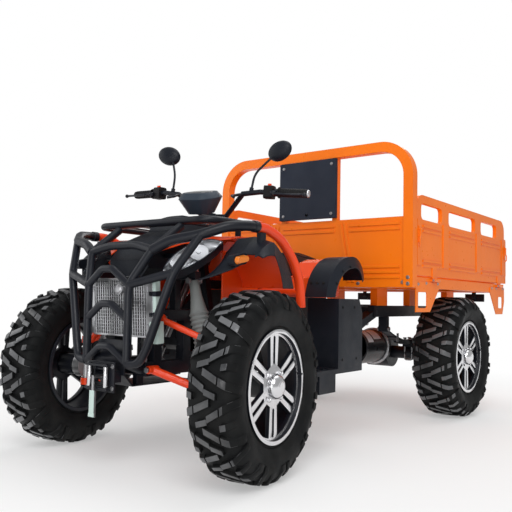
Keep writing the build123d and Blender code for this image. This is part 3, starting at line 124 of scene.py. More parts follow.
# The floor is matt near the object and fades into the white world between two distances
FADE = {"From Min": 1.4, "From Max": 3.4, "To Min": 0.35, "To Max": 1.0}
LAMP_AIM = Vector((0, 0, 0.5))
LAMPS = (
    # name, place, size, watts
    ("key", (3.2, -4.2, 4.6), 3.2, 180),
    ("fill", (-4.6, -3.0, 2.6), 3.4, 50),
    ("top", (0.4, 1.2, 5.4), 4.0, 100),
    ("rear", (-2.5, 5.5, 3.5), 3.0, 70),
    ("low", (1.6, -5.2, 0.8), 1.8, 45),
)
scene.view_settings.view_transform = "Standard"


def shader_tree(owner):
    """The node tree of a material or world, turned on and emptied."""
    owner.use_nodes = True
    owner.node_tree.nodes.clear()
    return owner.node_tree


def add_node(tree, kind, inputs=None, **settings):
    """A shader node with its settings; each input is a socket to link or a value to set."""
    node = tree.nodes.new("ShaderNode" + kind)
    for label, value in settings.items():
        setattr(node, label, value)
    for label, value in (inputs or {}).items():
        if isinstance(value, bpy.types.NodeSocket):
            tree.links.new(value, node.inputs[label])
        else:
            node.inputs[label].default_value = value
    return node


world = bpy.data.worlds.new("studio")
scene.world = world
tree = shader_tree(world)
rays = add_node(tree, "LightPath").outputs
seen = add_node(tree, "Math", {0: rays["Is Camera Ray"], 1: rays["Is Transmission Ray"]}, operation="MAXIMUM")
strength = add_node(tree, "MapRange", {"Value": seen.outputs[0], "To Min": WORLD_LIGHT, "To Max": 1.0})
white = add_node(tree, "Background", {"Color": (1, 1, 1, 1), "Strength": strength.outputs["Result"]})
add_node(tree, "OutputWorld", {"Surface": white.outputs["Background"]})

for name, spot, size, watts in LAMPS:
    lamp_data = bpy.data.lights.new(name, "AREA")
    lamp_data.size = size
    lamp_data.energy = watts
    lamp = bpy.data.objects.new(name, lamp_data)
    lamp.location = spot
    lamp.rotation_euler = (LAMP_AIM - Vector(spot)).to_track_quat("-Z", "Y").to_euler()
    scene.collection.objects.link(lamp)

floor_material = bpy.data.materials.new("floor")
tree = shader_tree(floor_material)
away = add_node(tree, "VectorMath", {0: add_node(tree, "TexCoord").outputs["Object"]}, operation="LENGTH")
fade = add_node(tree, "MapRange", {"Value": away.outputs["Value"], **FADE})
matt = add_node(tree, "BsdfDiffuse", {"Color": (0.9, 0.9, 0.9, 1)})
glow = add_node(tree, "Emission")
blend = add_node(tree, "MixShader", {0: fade.outputs["Result"], 1: matt.outputs[0], 2: glow.outputs[0]})
add_node(tree, "OutputMaterial", {"Surface": blend.outputs[0]})
floor_mesh = bpy.data.meshes.new("floor")
bm = bmesh.new()
bmesh.ops.create_grid(bm, x_segments=1, y_segments=1, size=FLOOR_HALF)
bmesh.ops.translate(bm, verts=bm.verts, vec=(0, 0, -MM))
bm.to_mesh(floor_mesh)
bm.free()
floor = bpy.data.objects.new("floor", floor_mesh)
floor.data.materials.append(floor_material)
scene.collection.objects.link(floor)
print("lamps", len(LAMPS))

# %% [markdown]
# ## Effects that several finishes share
# Three node groups are built once. "Film" is what a sprayed or rolled-on coat has: a slow
# drift of tone and a fine orange peel. "Grain" is the fine leather-like grain that moulded
# plastic gets from its tool. "Dust" settles in patches and thins out with height. Each has named
# inputs, so a material only sets its own amounts.

# %% Node groups
GREY, ROAD_DUST = (0.5, 0.5, 0.5, 1), (0.3, 0.28, 0.25, 1)


def new_group(name, inputs, outputs):
    """A shader group; returns it, what it is given and what it gives."""
    group = bpy.data.node_groups.new(name, "ShaderNodeTree")
    for way, sockets in (("INPUT", inputs), ("OUTPUT", outputs)):
        for label, value in sockets.items():
            kind = "NodeSocketColor" if isinstance(value, tuple) else "NodeSocketFloat"
            group.interface.new_socket(label, in_out=way, socket_type=kind).default_value = value
    return group, group.nodes.new("NodeGroupInput").outputs, group.nodes.new("NodeGroupOutput").inputs


def coordinates(tree):
    """Object coordinates, which stay with the piece when it moves."""
    return add_node(tree, "TexCoord").outputs["Object"]


def noise(tree, scale, detail):
    """A noise texture on Object coordinates."""
    texture = add_node(tree, "TexNoise", {"Vector": coordinates(tree), "Scale": scale, "Detail": detail})
    return texture.outputs["Fac"]


def mix_colour(tree, factor, first, second):
    """A colour mix; each input is a socket or a value."""
    return add_node(tree, "Mix", {"Factor": factor, 6: first, 7: second}, data_type="RGBA").outputs[2]


def ramp(tree, value, low, high, to_low=0.0, to_high=1.0):
    """A value mapped from one range to another and clamped."""
    span = {"From Min": low, "From Max": high, "To Min": to_low, "To Max": to_high}
    return add_node(tree, "MapRange", {"Value": value, **span}).outputs["Result"]


def product(tree, first, second):
    """Two values multiplied."""
    return add_node(tree, "Math", {0: first, 1: second}, operation="MULTIPLY").outputs[0]


# Film: tone drift and orange peel
FILM, given, gives = new_group("film", {"Colour": GREY, "Deep": GREY, "Gloss": 0.35},
                               {"Colour": GREY, "Roughness": 0.0, "Height": 0.0})
drift = ramp(FILM, noise(FILM, 2.2, 5), 0.35, 0.7)
FILM.links.new(mix_colour(FILM, drift, given["Colour"], given["Deep"]), gives["Colour"])
fleck = ramp(FILM, noise(FILM, 38, 4), 0.3, 0.7, 0.85, 1.2)
FILM.links.new(product(FILM, fleck, given["Gloss"]), gives["Roughness"])
FILM.links.new(noise(FILM, 420, 2), gives["Height"])

# Grain: the pebbled skin of moulded plastic, rubber and vinyl
GRAIN, given, gives = new_group("grain", {"Scale": 700.0, "Gloss": 0.5}, {"Height": 0.0, "Roughness": 0.0})
cells = add_node(GRAIN, "TexVoronoi", {"Vector": coordinates(GRAIN), "Scale": given["Scale"]})
GRAIN.links.new(cells.outputs["Distance"], gives["Height"])
scuff = ramp(GRAIN, noise(GRAIN, 9, 6), 0.3, 0.75, 0.75, 1.35)
GRAIN.links.new(product(GRAIN, scuff, given["Gloss"]), gives["Roughness"])

# Dust: pale road dust that thins out with height
DUST, given, gives = new_group("dust", {"Colour": GREY, "Dust": ROAD_DUST, "Amount": 0.3, "Top": 0.7},
                               {"Colour": GREY})
height = add_node(DUST, "SeparateXYZ", {"Vector": coordinates(DUST)}).outputs["Z"]
patches = product(DUST, ramp(DUST, height, given["Top"], 0.0), ramp(DUST, noise(DUST, 14, 7), 0.42, 0.72))
mask = product(DUST, patches, given["Amount"])
DUST.links.new(mix_colour(DUST, mask, given["Colour"], given["Dust"]), gives["Colour"])
print("groups", [group.name for group in bpy.data.node_groups])

# %% [markdown]
# ## Finishes
# Painted, moulded and metal finishes are Principled shaders fed by those groups, the rest
# plain ones. A Bevel node rounds the edges of the sheet metal in the light, as paint does over
# a cut edge. Numbers that are the same all over a surface are set on the shader itself.

# %% Finishes
FINISHES = {}


def principled(name, **values):
    """A finish with a Principled shader, kept under its name; values go on the shader's sockets."""
    made = FINISHES[name] = bpy.data.materials.new(name)
    tree = shader_tree(made)
    sockets = {label.replace("_", " "): value for label, value in values.items()}
    shader = add_node(tree, "BsdfPrincipled", sockets)
    add_node(tree, "OutputMaterial", {"Surface": shader.outputs["BSDF"]})
    return tree, shader


def use(tree, group, **values):
    """The outputs of a shared group, with its inputs linked or set."""
    return add_node(tree, "Group", values, node_tree=group).outputs


def skin(tree, shader, colour, roughness, height, depth, distance, edge):
    """Link colour, roughness and a bump over rounded edges to a shader."""
    rounded = add_node(tree, "Bevel", {"Radius": edge}, samples=4).outputs["Normal"]
    bump = {"Height": height, "Strength": depth, "Distance": distance, "Normal": rounded}
    normal = add_node(tree, "Bump", bump).outputs["Normal"]
    for label, value in (("Base Color", colour), ("Roughness", roughness), ("Normal", normal)):
        tree.links.new(value, shader.inputs[label])


def painted(name, colour, deep, gloss=0.32, peel=0.12, dust=0.0, coat=0.1, shine=0.4):
    """Sprayed or powder-coated metal."""
    tree, shader = principled(name, Coat_Weight=coat, Coat_Roughness=0.12, Specular_IOR_Level=shine)
    film = use(tree, FILM, Colour=(*colour, 1), Deep=(*deep, 1), Gloss=gloss)
    dirt = use(tree, DUST, Colour=film["Colour"], Amount=dust, Top=0.75)
    skin(tree, shader, dirt["Colour"], film["Roughness"], film["Height"], peel, 0.0006, 0.003)


def moulded(name, colour, lift, gloss=0.5, scale=700.0, dust=0.05, top=0.8, shine=0.22):
    """Moulded plastic, rubber or vinyl with a grain."""
    tree, shader = principled(name, Specular_IOR_Level=shine)
    grain = use(tree, GRAIN, Scale=scale, Gloss=gloss)
    tone = mix_colour(tree, ramp(tree, noise(tree, 6, 6), 0.35, 0.75), (*colour, 1), (*lift, 1))
    dirt = use(tree, DUST, Colour=tone, Amount=dust, Top=top)
    skin(tree, shader, dirt["Colour"], grain["Roughness"], grain["Height"], 0.25, 0.0008, 0.003)


def metal(name, colour, deep, gloss):
    """Bare or plated metal with fine scratches."""
    tree, shader = principled(name, Metallic=1.0)
    film = use(tree, FILM, Colour=(*colour, 1), Deep=(*deep, 1), Gloss=gloss)
    dirt = use(tree, DUST, Colour=film["Colour"], Amount=0.1)
    skin(tree, shader, dirt["Colour"], film["Roughness"], film["Height"], 0.05, 0.0006, 0.0015)


painted("bed_paint", (0.95, 0.20, 0.005), (0.86, 0.165, 0.004), shine=0.25)
painted("frame_paint", (0.86, 0.06, 0.006), (0.74, 0.045, 0.005), dust=0.02, shine=0.3)
painted("body_paint", (0.90, 0.075, 0.006), (0.80, 0.06, 0.005), gloss=0.2, peel=0.04, coat=0.25)
painted("black_paint", (0.008, 0.010, 0.016), (0.005, 0.006, 0.010), gloss=0.36, dust=0.04, coat=0.0,
        shine=0.3)
painted("motor", (0.010, 0.011, 0.014), (0.016, 0.017, 0.020), gloss=0.3, dust=0.03, shine=0.3)
moulded("black_plastic", (0.006, 0.008, 0.013), (0.010, 0.013, 0.020), gloss=0.42)
moulded("dark_plastic", (0.028, 0.040, 0.056), (0.036, 0.050, 0.070), gloss=0.36, dust=0.0)
moulded("backrest", (0.014, 0.019, 0.032), (0.019, 0.025, 0.040), gloss=0.6, dust=0.0)
moulded("seat_cover", (0.010, 0.010, 0.012), (0.018, 0.018, 0.021), gloss=0.4, scale=420.0)
# Black rubber, set darker than rubber is so that the gaps between the blocks hold painted shade
moulded("tyre", (0.003, 0.0035, 0.004), (0.006, 0.0065, 0.007), gloss=0.6, scale=300.0, dust=0.03,
        top=0.7, shine=0.16)
# Tread tops: worn grey rubber, lifted in patches to a painted highlight
moulded("tread_top_wear_and_highlight", (0.020, 0.021, 0.024), (0.150, 0.154, 0.162), gloss=0.35, scale=300.0, dust=0.1,
        shine=0.5)
moulded("boot", (0.17, 0.18, 0.18), (0.22, 0.23, 0.22), gloss=0.55)
moulded("grip", (0.005, 0.005, 0.006), (0.009, 0.009, 0.010), gloss=0.6, scale=500.0, dust=0.0)
moulded("battery", (0.012, 0.012, 0.014), (0.020, 0.020, 0.022))
metal("rim", (0.80, 0.80, 0.82), (0.68, 0.68, 0.70), 0.22)
metal("silver", (0.62, 0.63, 0.65), (0.5, 0.5, 0.52), 0.34)
metal("steel", (0.42, 0.42, 0.43), (0.3, 0.3, 0.31), 0.38)
principled("amber", Base_Color=(0.95, 0.25, 0.01, 1), Roughness=0.15, Transmission_Weight=0.25,
           Coat_Weight=0.5)
principled("red_lens", Base_Color=(0.6, 0.01, 0.008, 1), Roughness=0.15, Coat_Weight=0.5)
principled("display_glass", Base_Color=(0.01, 0.012, 0.015, 1), Roughness=0.08, Coat_Weight=0.6)
principled("sticker", Base_Color=(0.86, 0.91, 0.96, 1), Roughness=0.6)
principled("pale_plastic", Base_Color=(0.50, 0.62, 0.58, 1), Roughness=0.4)
# Clear glass casts no shadow, so light reaches the bowl behind it
tree, shader = principled("lens", Base_Color=(0.96, 0.97, 0.98, 1), Roughness=0.03,
                          Transmission_Weight=1.0, IOR=1.2)
shadow = add_node(tree, "LightPath").outputs["Is Shadow Ray"]
clear = add_node(tree, "BsdfTransparent").outputs["BSDF"]
mixed = add_node(tree, "MixShader", {0: shadow, 1: shader.outputs["BSDF"], 2: clear})
tree.links.new(mixed.outputs["Shader"], tree.nodes["Material Output"].inputs["Surface"])

slot_of_node = {entry["node"]: entry["material_slot"] for entry in frame["record"]["subparts"]}
for node, thing in frame["nodes"].items():
    thing.data.materials.clear()
    thing.data.materials.append(FINISHES[slot_of_node[node]])
# In the photograph the frame behind the radiator and under the bed is black, and only what
# shows beside the seat and the front wheels is orange; the winch has black plates
for node in ("chassis_frame", "winch"):
    frame["nodes"][node].data.materials[0] = FINISHES["black_paint"]
print("finishes", len(FINISHES))

# %% [markdown]
# ## Making pieces
# Small parts start from a box or a rod. Their sharp edges get a narrow bevel, as turned and
# pressed parts have, because a bright line along an edge is what makes a thing look made.
# Each piece is told which body it moves with and which finish it wears.

# %% Piece helpers
SHARP = 38


def move(bm, matrix):
    """Move what a bmesh holds by a matrix."""
    bmesh.ops.transform(bm, matrix=matrix, verts=bm.verts)


def face_out(bm):
    """Turn the faces of closed shapes outwards."""
    bmesh.ops.recalc_face_normals(bm, faces=bm.faces)


def everything(bm):
    """The vertices, edges and faces of a bmesh."""
    return bm.verts[:] + bm.edges[:] + bm.faces[:]


def piece(name, bm, finish, body="vehicle", second=None):
    """A mesh object from a bmesh, in one finish or two, that moves with a body."""
    face_out(bm)
    mesh = bpy.data.meshes.new(name)
    bm.to_mesh(mesh)
    bm.free()
    mesh.materials.append(FINISHES[finish])
    if second:
        mesh.materials.append(FINISHES[second])
    mesh.shade_smooth()
    mesh.set_sharp_from_angle(angle=math.radians(SHARP))
    made = bpy.data.objects.new(name, mesh)
    scene.collection.objects.link(made)
    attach(made, body)
    return made


def add_box(bm, low, high, matrix=Matrix()):
    """A box between two corners, moved by a matrix."""
    low, high = Vector(low), Vector(high)
    local = Matrix.Translation((low + high) / 2) @ Matrix.Diagonal((*(high - low), 1))
    bmesh.ops.create_cube(bm, size=1, matrix=matrix @ local)


def add_rod(bm, start, end, radius, segments=16, end_radius=None):
    """A rod or cone between two points; returns its vertices."""
    line = Vector(end) - Vector(start)
    turn = line.to_track_quat("Z", "Y").to_matrix().to_4x4()
    matrix = Matrix.Translation((Vector(start) + Vector(end)) / 2) @ turn
    return bmesh.ops.create_cone(bm, cap_ends=True, segments=segments, radius1=radius, depth=line.length,
                                 radius2=radius if end_radius is None else end_radius, matrix=matrix)["verts"]


def add_pin(bm, x, z, start, end, radius, segments=12):
    """A rod that lies lengthwise, between two distances in millimetres."""
    add_rod(bm, place(x, start, z), place(x, end, z), radius, segments)


def add_ball(bm, centre, radius, segments, rings):
    """A ball round a point."""
    bmesh.ops.create_uvsphere(bm, u_segments=segments, v_segments=rings, radius=radius,
                              matrix=Matrix.Translation(centre))


def soften(bm, width, segments=2, least=SHARP):
    """Bevel every edge that is sharper than an angle in degrees."""
    sharp = [edge for edge in bm.edges
             if len(edge.link_faces) == 2 and edge.calc_face_angle() > math.radians(least)]
    bmesh.ops.bevel(bm, geom=sharp, offset=width, segments=segments, profile=0.5, affect="EDGES",
                    material=-1, clamp_overlap=True)


def join(bm, other):
    """Add another bmesh to a bmesh and free it."""
    mesh = bpy.data.meshes.new("joined")
    other.to_mesh(mesh)
    other.free()
    bm.from_mesh(mesh)
    bpy.data.meshes.remove(mesh)


def both_sides(bm, matrix=Matrix()):
    """Mirror what a bmesh holds to the other side and move both by a matrix."""
    copied = bmesh.ops.duplicate(bm, geom=everything(bm))["geom"]
    other = [item for item in copied if isinstance(item, bmesh.types.BMVert)]
    bmesh.ops.transform(bm, matrix=Matrix.Diagonal((-1, 1, 1, 1)), verts=other)
    face_out(bm)
    move(bm, matrix)


def merged_copy(node):
    """The mesh of a CAD node as a bmesh, with its loose triangles joined into plain faces."""
    bm = bmesh.new()
    bm.from_mesh(frame["nodes"][node].data)
    bmesh.ops.remove_doubles(bm, verts=bm.verts, dist=1e-5)
    bmesh.ops.dissolve_limit(bm, angle_limit=math.radians(1.5), verts=bm.verts, edges=bm.edges)
    return bm


print("helpers ready")

# %% [markdown]
# ## Tyres
# A quad tyre is a round carcass with a bolted-on look of rubber blocks. In the mould each
# pitch holds the same blocks, and the pattern repeats eleven times round, half a pitch later
# on the other side. The blocks here follow the frame's lug bars, cut by the fine slots that
# the frame leaves out, with short blocks between them.
#
# One block is a cube, cut into slices and laid along the tread by a short table. All the
# blocks of a pitch are then copied round the axle.

# %% Tread and carcass
TYRE_RADIUS = 0.330
WHEEL_X, KINGPIN_X, WHEELBASE = 505, 415, 1830
PITCHES = 11
HALF_WIDTHS = {"front": 0.0975, "rear": 0.120}
# Blocks of one pitch: share of the half width and turn in pitches, inner and outer end; width
BLOCKS = (
    (-0.16, -0.140, 0.42, -0.002, 0.026),
    (0.46, 0.007, 1.0, 0.135, 0.029),
    (0.04, 0.650, 0.50, 0.509, 0.026),
    (0.54, 0.497, 1.0, 0.356, 0.029),
    (-0.04, 0.190, 0.40, 0.262, 0.022),
    (0.50, 0.780, 0.90, 0.730, 0.024),
)
# Depth below the tips of the blocks against the share of the half width
BLOCK_TOP = ((0, 0), (0.45, 0.0), (0.7, 0.003), (1, 0.044))
BLOCK_FOOT = ((0, 0.020), (0.55, 0.021), (0.9, 0.052), (1, 0.066))
# A block's width differs by this share at foot and top; a top face, worn grey rubber lifted
# to a painted highlight, lies this near the tips and looks outwards at least this much
BLOCK_TAPER, TOP_SLACK, TOP_FACING = 0.08, 0.003, 0.6
# Carcass outline: share of the half width and radius
CARCASS = ((0.72, 0.190), (0.735, 0.204), (0.80, 0.208), (0.84, 0.220), (0.90, 0.232), (0.91, 0.236),
           (0.955, 0.252), (0.965, 0.266), (0.93, 0.281), (0.86, 0.297), (0.78, 0.308), (0.70, 0.3135),
           (0.35, 0.3155), (0, 0.316))


def along(table, share):
    """The value of a table of (share, value) at a share, in straight steps."""
    for (start, first), (end, last) in zip(table, table[1:]):
        if share <= end:
            return first + (last - first) * (share - start) / (end - start)
    return table[-1][1]


def add_block(bm, half, sign, phase, row):
    """One tread block: a cube in slices, laid along the tread."""
    inner_share, inner_turn, outer_share, outer_turn, width = row
    block = bmesh.new()
    bmesh.ops.create_cube(block, size=1)
    lengthwise = [edge for edge in block.edges if abs(edge.verts[0].co.x - edge.verts[1].co.x) > 0.5]
    bmesh.ops.subdivide_edges(block, edges=lengthwise, cuts=3, use_grid_fill=True)
    for vert in block.verts:
        length, across, up = vert.co.x + 0.5, vert.co.y, vert.co.z + 0.5
        share = inner_share + (outer_share - inner_share) * length
        turn = phase + inner_turn + (outer_turn - inner_turn) * length
        depth = along(BLOCK_FOOT, abs(share)) * (1 - up) + along(BLOCK_TOP, abs(share)) * up
        radius = TYRE_RADIUS - depth
        taper = 1 + BLOCK_TAPER * (1 - 2 * up)
        angle = math.tau / PITCHES * turn + across * width * taper / TYRE_RADIUS
        vert.co = (sign * share * half, -radius * math.sin(angle), radius * math.cos(angle))
    face_out(block)
    soften(block, 0.0016)
    join(bm, block)


def tyre_mesh(half):
    """A tyre in the wheel's own frame: axle along X, outside towards +X."""
    bm = bmesh.new()
    for sign, phase in ((-1, 0), (1, 0.5)):
        for row in BLOCKS:
            add_block(bm, half, sign, phase, row)
    bmesh.ops.spin(bm, geom=everything(bm), cent=(0, 0, 0), axis=(1, 0, 0),
                   angle=math.tau * (PITCHES - 1) / PITCHES, steps=PITCHES - 1, use_duplicate=True)
    outline = CARCASS + tuple((-share, radius) for share, radius in CARCASS[-2::-1])
    points = [bm.verts.new((share * half, 0, radius)) for share, radius in outline]
    edges = [bm.edges.new(pair) for pair in zip(points, points[1:] + points[:1])]
    bmesh.ops.spin(bm, geom=points + edges, cent=(0, 0, 0), axis=(1, 0, 0), angle=math.tau,
                   steps=8 * PITCHES, use_merge=True)
    return bm


def wheel_matrix(end, side):
    """From a wheel's own frame to its place on the vehicle."""
    sign = 1 if side == "left" else -1
    distance = 0 if end == "front" else WHEELBASE
    matrix = Matrix.Translation(place(sign * WHEEL_X, distance, TYRE_RADIUS / MM))
    if sign < 0:
        matrix = matrix @ Matrix.Rotation(math.pi, 4, "X") @ Matrix.Diagonal((-1, 1, 1, 1))
    if end == "front":
        matrix = about(place(sign * KINGPIN_X, 0, 0), Matrix.Rotation(STEER_REST, 4, "Z")) @ matrix
    return matrix


WHEELS = [(end, side, wheel_matrix(end, side)) for end in ("front", "rear") for side in ("left", "right")]
for end, side, matrix in WHEELS:
    bm = tyre_mesh(HALF_WIDTHS[end])
    face_out(bm)
    for face in bm.faces:
        middle = face.calc_center_median()
        outward = Vector((0, middle.y, middle.z)).normalized()
        above = middle.length > CARCASS[-1][1] + 0.0005 and len(face.verts) < 9
        depth = along(BLOCK_TOP, abs(middle.x) / HALF_WIDTHS[end])
        shallow = TYRE_RADIUS - math.hypot(middle.y, middle.z) < depth + TOP_SLACK
        # Top faces take the second finish: worn grey rubber, lifted in patches to a painted highlight
        face.material_index = int(above and shallow and face.normal.dot(outward) > TOP_FACING)
    move(bm, matrix)
    tyre = piece(f"tread_{end}_{side}", bm, "tyre", f"wheel_{end}_{side}", "tread_top_wear_and_highlight")
    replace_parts(tyre, f"tyre_{end}_{side}")
print("triangles of a tyre", sum(len(polygon.vertices) - 2 for polygon in tyre.data.polygons))

# %% [markdown]
# ## Rims
# A cast rim is painted black all over and then turned on a lathe, so that only its front
# faces are bright. The frame's rim is copied and its edges are rounded; faces that look
# outwards at the front get the bright finish and the rest stays black. Nuts, a cap and a
# valve complete it.

# %% Rims
BEAD_SHARE = 0.72
FACE_DEPTH = 0.008
HUB_RADIUS = 0.045
NUT_CIRCLE, NUTS = 0.058, 4
for end, side, matrix in WHEELS:
    bm = merged_copy(f"rim_{end}_{side}")
    move(bm, matrix.inverted())
    face_out(bm)
    soften(bm, 0.0012, least=50)
    bead = HALF_WIDTHS[end] * BEAD_SHARE
    face_x = bead - FACE_DEPTH
    for face in bm.faces:
        middle = face.calc_center_median()
        turned = face.normal.x > 0.75 and middle.x > face_x - 0.002
        hub = math.hypot(middle.y, middle.z) < HUB_RADIUS and middle.x > face_x
        face.material_index = 0 if turned or hub else 1
    for number in range(NUTS):
        angle = math.tau * (number + 0.5) / NUTS
        foot = Vector((face_x - 0.001, NUT_CIRCLE * math.cos(angle), NUT_CIRCLE * math.sin(angle)))
        add_rod(bm, foot, foot + Vector((0.011, 0, 0)), 0.0085, 6)
        add_rod(bm, foot + Vector((0.010, 0, 0)), foot + Vector((0.014, 0, 0)), 0.0055, 12, 0.0035)
    add_rod(bm, (bead + 0.0235, 0, 0), (bead + 0.0252, 0, 0), 0.019, 32, 0.017)
    valve = Vector((bead - 0.002, 0.168, 0.03))
    stem = add_rod(bm, valve, valve + Vector((0.020, -0.006, 0)), 0.0042, 12)
    for face in {face for vert in stem for face in vert.link_faces}:
        face.material_index = 1
    move(bm, matrix)
    rim = piece(f"cast_rim_{end}_{side}", bm, "rim", f"wheel_{end}_{side}", "black_paint")
    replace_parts(rim, f"rim_{end}_{side}")
print("rims", len(WHEELS))

# %% [markdown]
# ## Headlamps
# A lamp is a black housing with a bright bowl, closed by a clear cover. The frame has it as
# one solid. A copy of it becomes the housing: its front face is inset and pushed in, and the
# bowl so made is bright. Two round reflectors stand in each bowl, and a thin cover lies on
# the rim.

# %% Headlamps
LAMP_SPOT = place(275, -85, 790)
LAMP_OUTWARD = Vector((0.501, -0.651, 0.571)).normalized()
LAMP_ALONG = Vector((0.558, 0.747, 0.362))
LAMP_ALONG = (LAMP_ALONG - LAMP_OUTWARD * LAMP_ALONG.dot(LAMP_OUTWARD)).normalized()
LAMP_ACROSS = LAMP_OUTWARD.cross(LAMP_ALONG)
BOWL_DEPTH = 0.030
# Reflectors: along the lamp, across it and radius
REFLECTORS = ((-0.062, -0.006, 0.034), (0.018, 0.002, 0.036))
housing = merged_copy("headlamps")
face_out(housing)
fronts = []
for sign in SIDES:
    outward = Vector((sign * LAMP_OUTWARD.x, LAMP_OUTWARD.y, LAMP_OUTWARD.z))
    facing = [face for face in housing.faces if face.normal.dot(outward) > 0.98]
    fronts.append((outward, max(facing, key=lambda face: face.calc_area())))
cover = bmesh.new()
for outward, face in fronts:
    cover.faces.new([cover.verts.new(vert.co + outward * 0.0005) for vert in face.verts])
bmesh.ops.inset_region(cover, faces=cover.faces[:], thickness=0.012, depth=0.005)
bmesh.ops.solidify(cover, geom=cover.faces[:], thickness=0.002)
for outward, face in fronts:
    bmesh.ops.inset_region(housing, faces=[face], thickness=0.004, depth=0)
    bmesh.ops.inset_region(housing, faces=[face], thickness=0.007, depth=-BOWL_DEPTH)
    for edge in face.edges:
        for wall in edge.link_faces:
            wall.material_index = 1
dull = set(housing.faces)
for sign in SIDES:
    mirror_x = Matrix.Diagonal((sign, 1, 1, 1))
    for u, v, radius in REFLECTORS:
        middle = LAMP_SPOT + LAMP_ALONG * u + LAMP_ACROSS * v - LAMP_OUTWARD * 0.026
        for reach, foot, tip, segments in ((0.018, radius * 0.55, radius, 28), (0.022, 0.011, 0.008, 16)):
            end = middle + LAMP_OUTWARD * reach
            add_rod(housing, mirror_x @ middle, mirror_x @ end, foot, segments, tip)
for face in set(housing.faces) - dull:
    face.material_index = 1
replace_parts(piece("lamp_housings", housing, "black_plastic", second="silver"), "headlamps")
piece("lamp_covers", cover, "lens")
print("lamps", len(fronts), "with reflectors", len(REFLECTORS))

# %% [markdown]
# ## Radiator face
# The radiator stands behind upright slats. Thin wires cross them and a round blank disc sits
# at the middle of the top edge.

# %% Radiator face
RADIATOR_UP = Vector((0, -0.065, 1)).normalized()
RADIATOR_OUT = Vector((0, -1, -0.065)).normalized()
radiator_frame = axes(Vector((1, 0, 0)), RADIATOR_UP, RADIATOR_OUT, place(0, -182, 480))
WIRES, WIRE_REACH = 15, 0.138
core = merged_copy("radiator")
for face in core.faces:
    spot = radiator_frame.inverted() @ face.calc_center_median()
    face.material_index = int(abs(spot.x) < 0.143 and 0.008 < spot.y < 0.207 and spot.z < -0.016)
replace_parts(piece("radiator_body", core, "silver", second="black_paint"), "radiator")
bm = bmesh.new()
for number in range(WIRES):
    height = 0.018 + 0.179 * number / (WIRES - 1)
    low, high = height - 0.0009, height + 0.0009
    add_box(bm, (-WIRE_REACH, low, -0.0062), (WIRE_REACH, high, -0.0042), radiator_frame)
for sign in SIDES:
    for low, high in ((0.03, 0.05), (0.165, 0.185)):
        add_box(bm, (sign * 0.148 - 0.004, low, -0.002), (sign * 0.148 + 0.004, high, 0.003), radiator_frame)
piece("radiator_wires", bm, "silver")
bm = bmesh.new()
disc = radiator_frame @ Vector((0, 0.175, -0.004))
add_rod(bm, disc, disc + RADIATOR_OUT * 0.010, 0.021, 32)
add_rod(bm, disc + RADIATOR_OUT * 0.009, disc + RADIATOR_OUT * 0.013, 0.017, 32, 0.013)
soften(bm, 0.001)
piece("radiator_disc", bm, "silver")
print("wires", WIRES)

# %% [markdown]
# ## Smooth tubes
# The bumper and the fender guards are round tube bent on a machine, so each corner is a
# short curve. The frame mitres them. Here the same corner points are rounded and a circle is
# swept along them, which Blender's curves do by themselves.

# %% Bumper and guards
BEND_STEPS = 6


def rounded_path(points, bend):
    """Corner points of a path with every inner corner replaced by a short curve."""
    points = [Vector(point) for point in points]
    path = [points[0]]
    for before, corner, after in zip(points, points[1:], points[2:]):
        reach = min(bend, 0.45 * (before - corner).length, 0.45 * (after - corner).length)
        start = corner + (before - corner).normalized() * reach
        end = corner + (after - corner).normalized() * reach
        for step in range(BEND_STEPS + 1):
            t = step / BEND_STEPS
            path.append(start * (1 - t) ** 2 + corner * 2 * t * (1 - t) + end * t ** 2)
    return path + [points[-1]]


def add_tube(bm, points, radius, bend=0.03, mirrored=False):
    """A round tube along corner points, added to a bmesh, and its mirror image if asked."""
    curve = bpy.data.curves.new("tube", "CURVE")
    curve.dimensions = "3D"
    curve.bevel_depth = radius
    curve.bevel_resolution = 3
    curve.use_fill_caps = True
    path = rounded_path(points, bend)
    spline = curve.splines.new("POLY")
    spline.points.add(len(path) - 1)
    for spot, point in zip(spline.points, path):
        spot.co = (*point, 1)
    holder = bpy.data.objects.new("tube", curve)
    mesh = bpy.data.meshes.new_from_object(holder)
    for sign in SIDES if mirrored else (1,):
        copy = bmesh.new()
        copy.from_mesh(mesh)
        bmesh.ops.remove_doubles(copy, verts=copy.verts, dist=1e-6)
        move(copy, Matrix.Diagonal((sign, 1, 1, 1)))
        join(bm, copy)
    bpy.data.objects.remove(holder)
    bpy.data.curves.remove(curve)
    bpy.data.meshes.remove(mesh)


# Nodes where tubes meet, from the bottom up
LOW_NODE, LOW_BEND, OUTER_LOW = (111, -244, 388), (165, -238, 392), (190, -228, 440)
OUTER_BEND, CORNER, MIDDLE_NODE = (279, -194, 713), (342, -126, 850), (111, -245, 545)
CHEVRON_NODE, UPPER_NODE, RACK_NODE = (111, -245, 670), (167, -191, 796), (172, -50.5, 896.8)
BUMPER_TUBES = (
    # corner points, diameter
    ((LOW_NODE, CHEVRON_NODE, UPPER_NODE, RACK_NODE), 32),
    ((LOW_NODE, LOW_BEND, OUTER_LOW, OUTER_BEND, CORNER), 32),
    ((CHEVRON_NODE, OUTER_BEND), 32),
    ((UPPER_NODE, (235, -165, 832), CORNER, (415, -60, 884), (450, 10, 890), (450, 60, 890)), 38),
    ((UPPER_NODE, (70, -181, 819), (0, -181, 819)), 32),
    ((LOW_NODE, (28, -252, 445), (0, -252, 445)), 28),
    ((MIDDLE_NODE, (28, -252, 600), (0, -252, 600)), 28),
    ((CHEVRON_NODE, (28, -252, 728), (0, -252, 728)), 28),
    ((LOW_NODE, (110, -186, 365), (110, -170.3, 365)), 32),
)
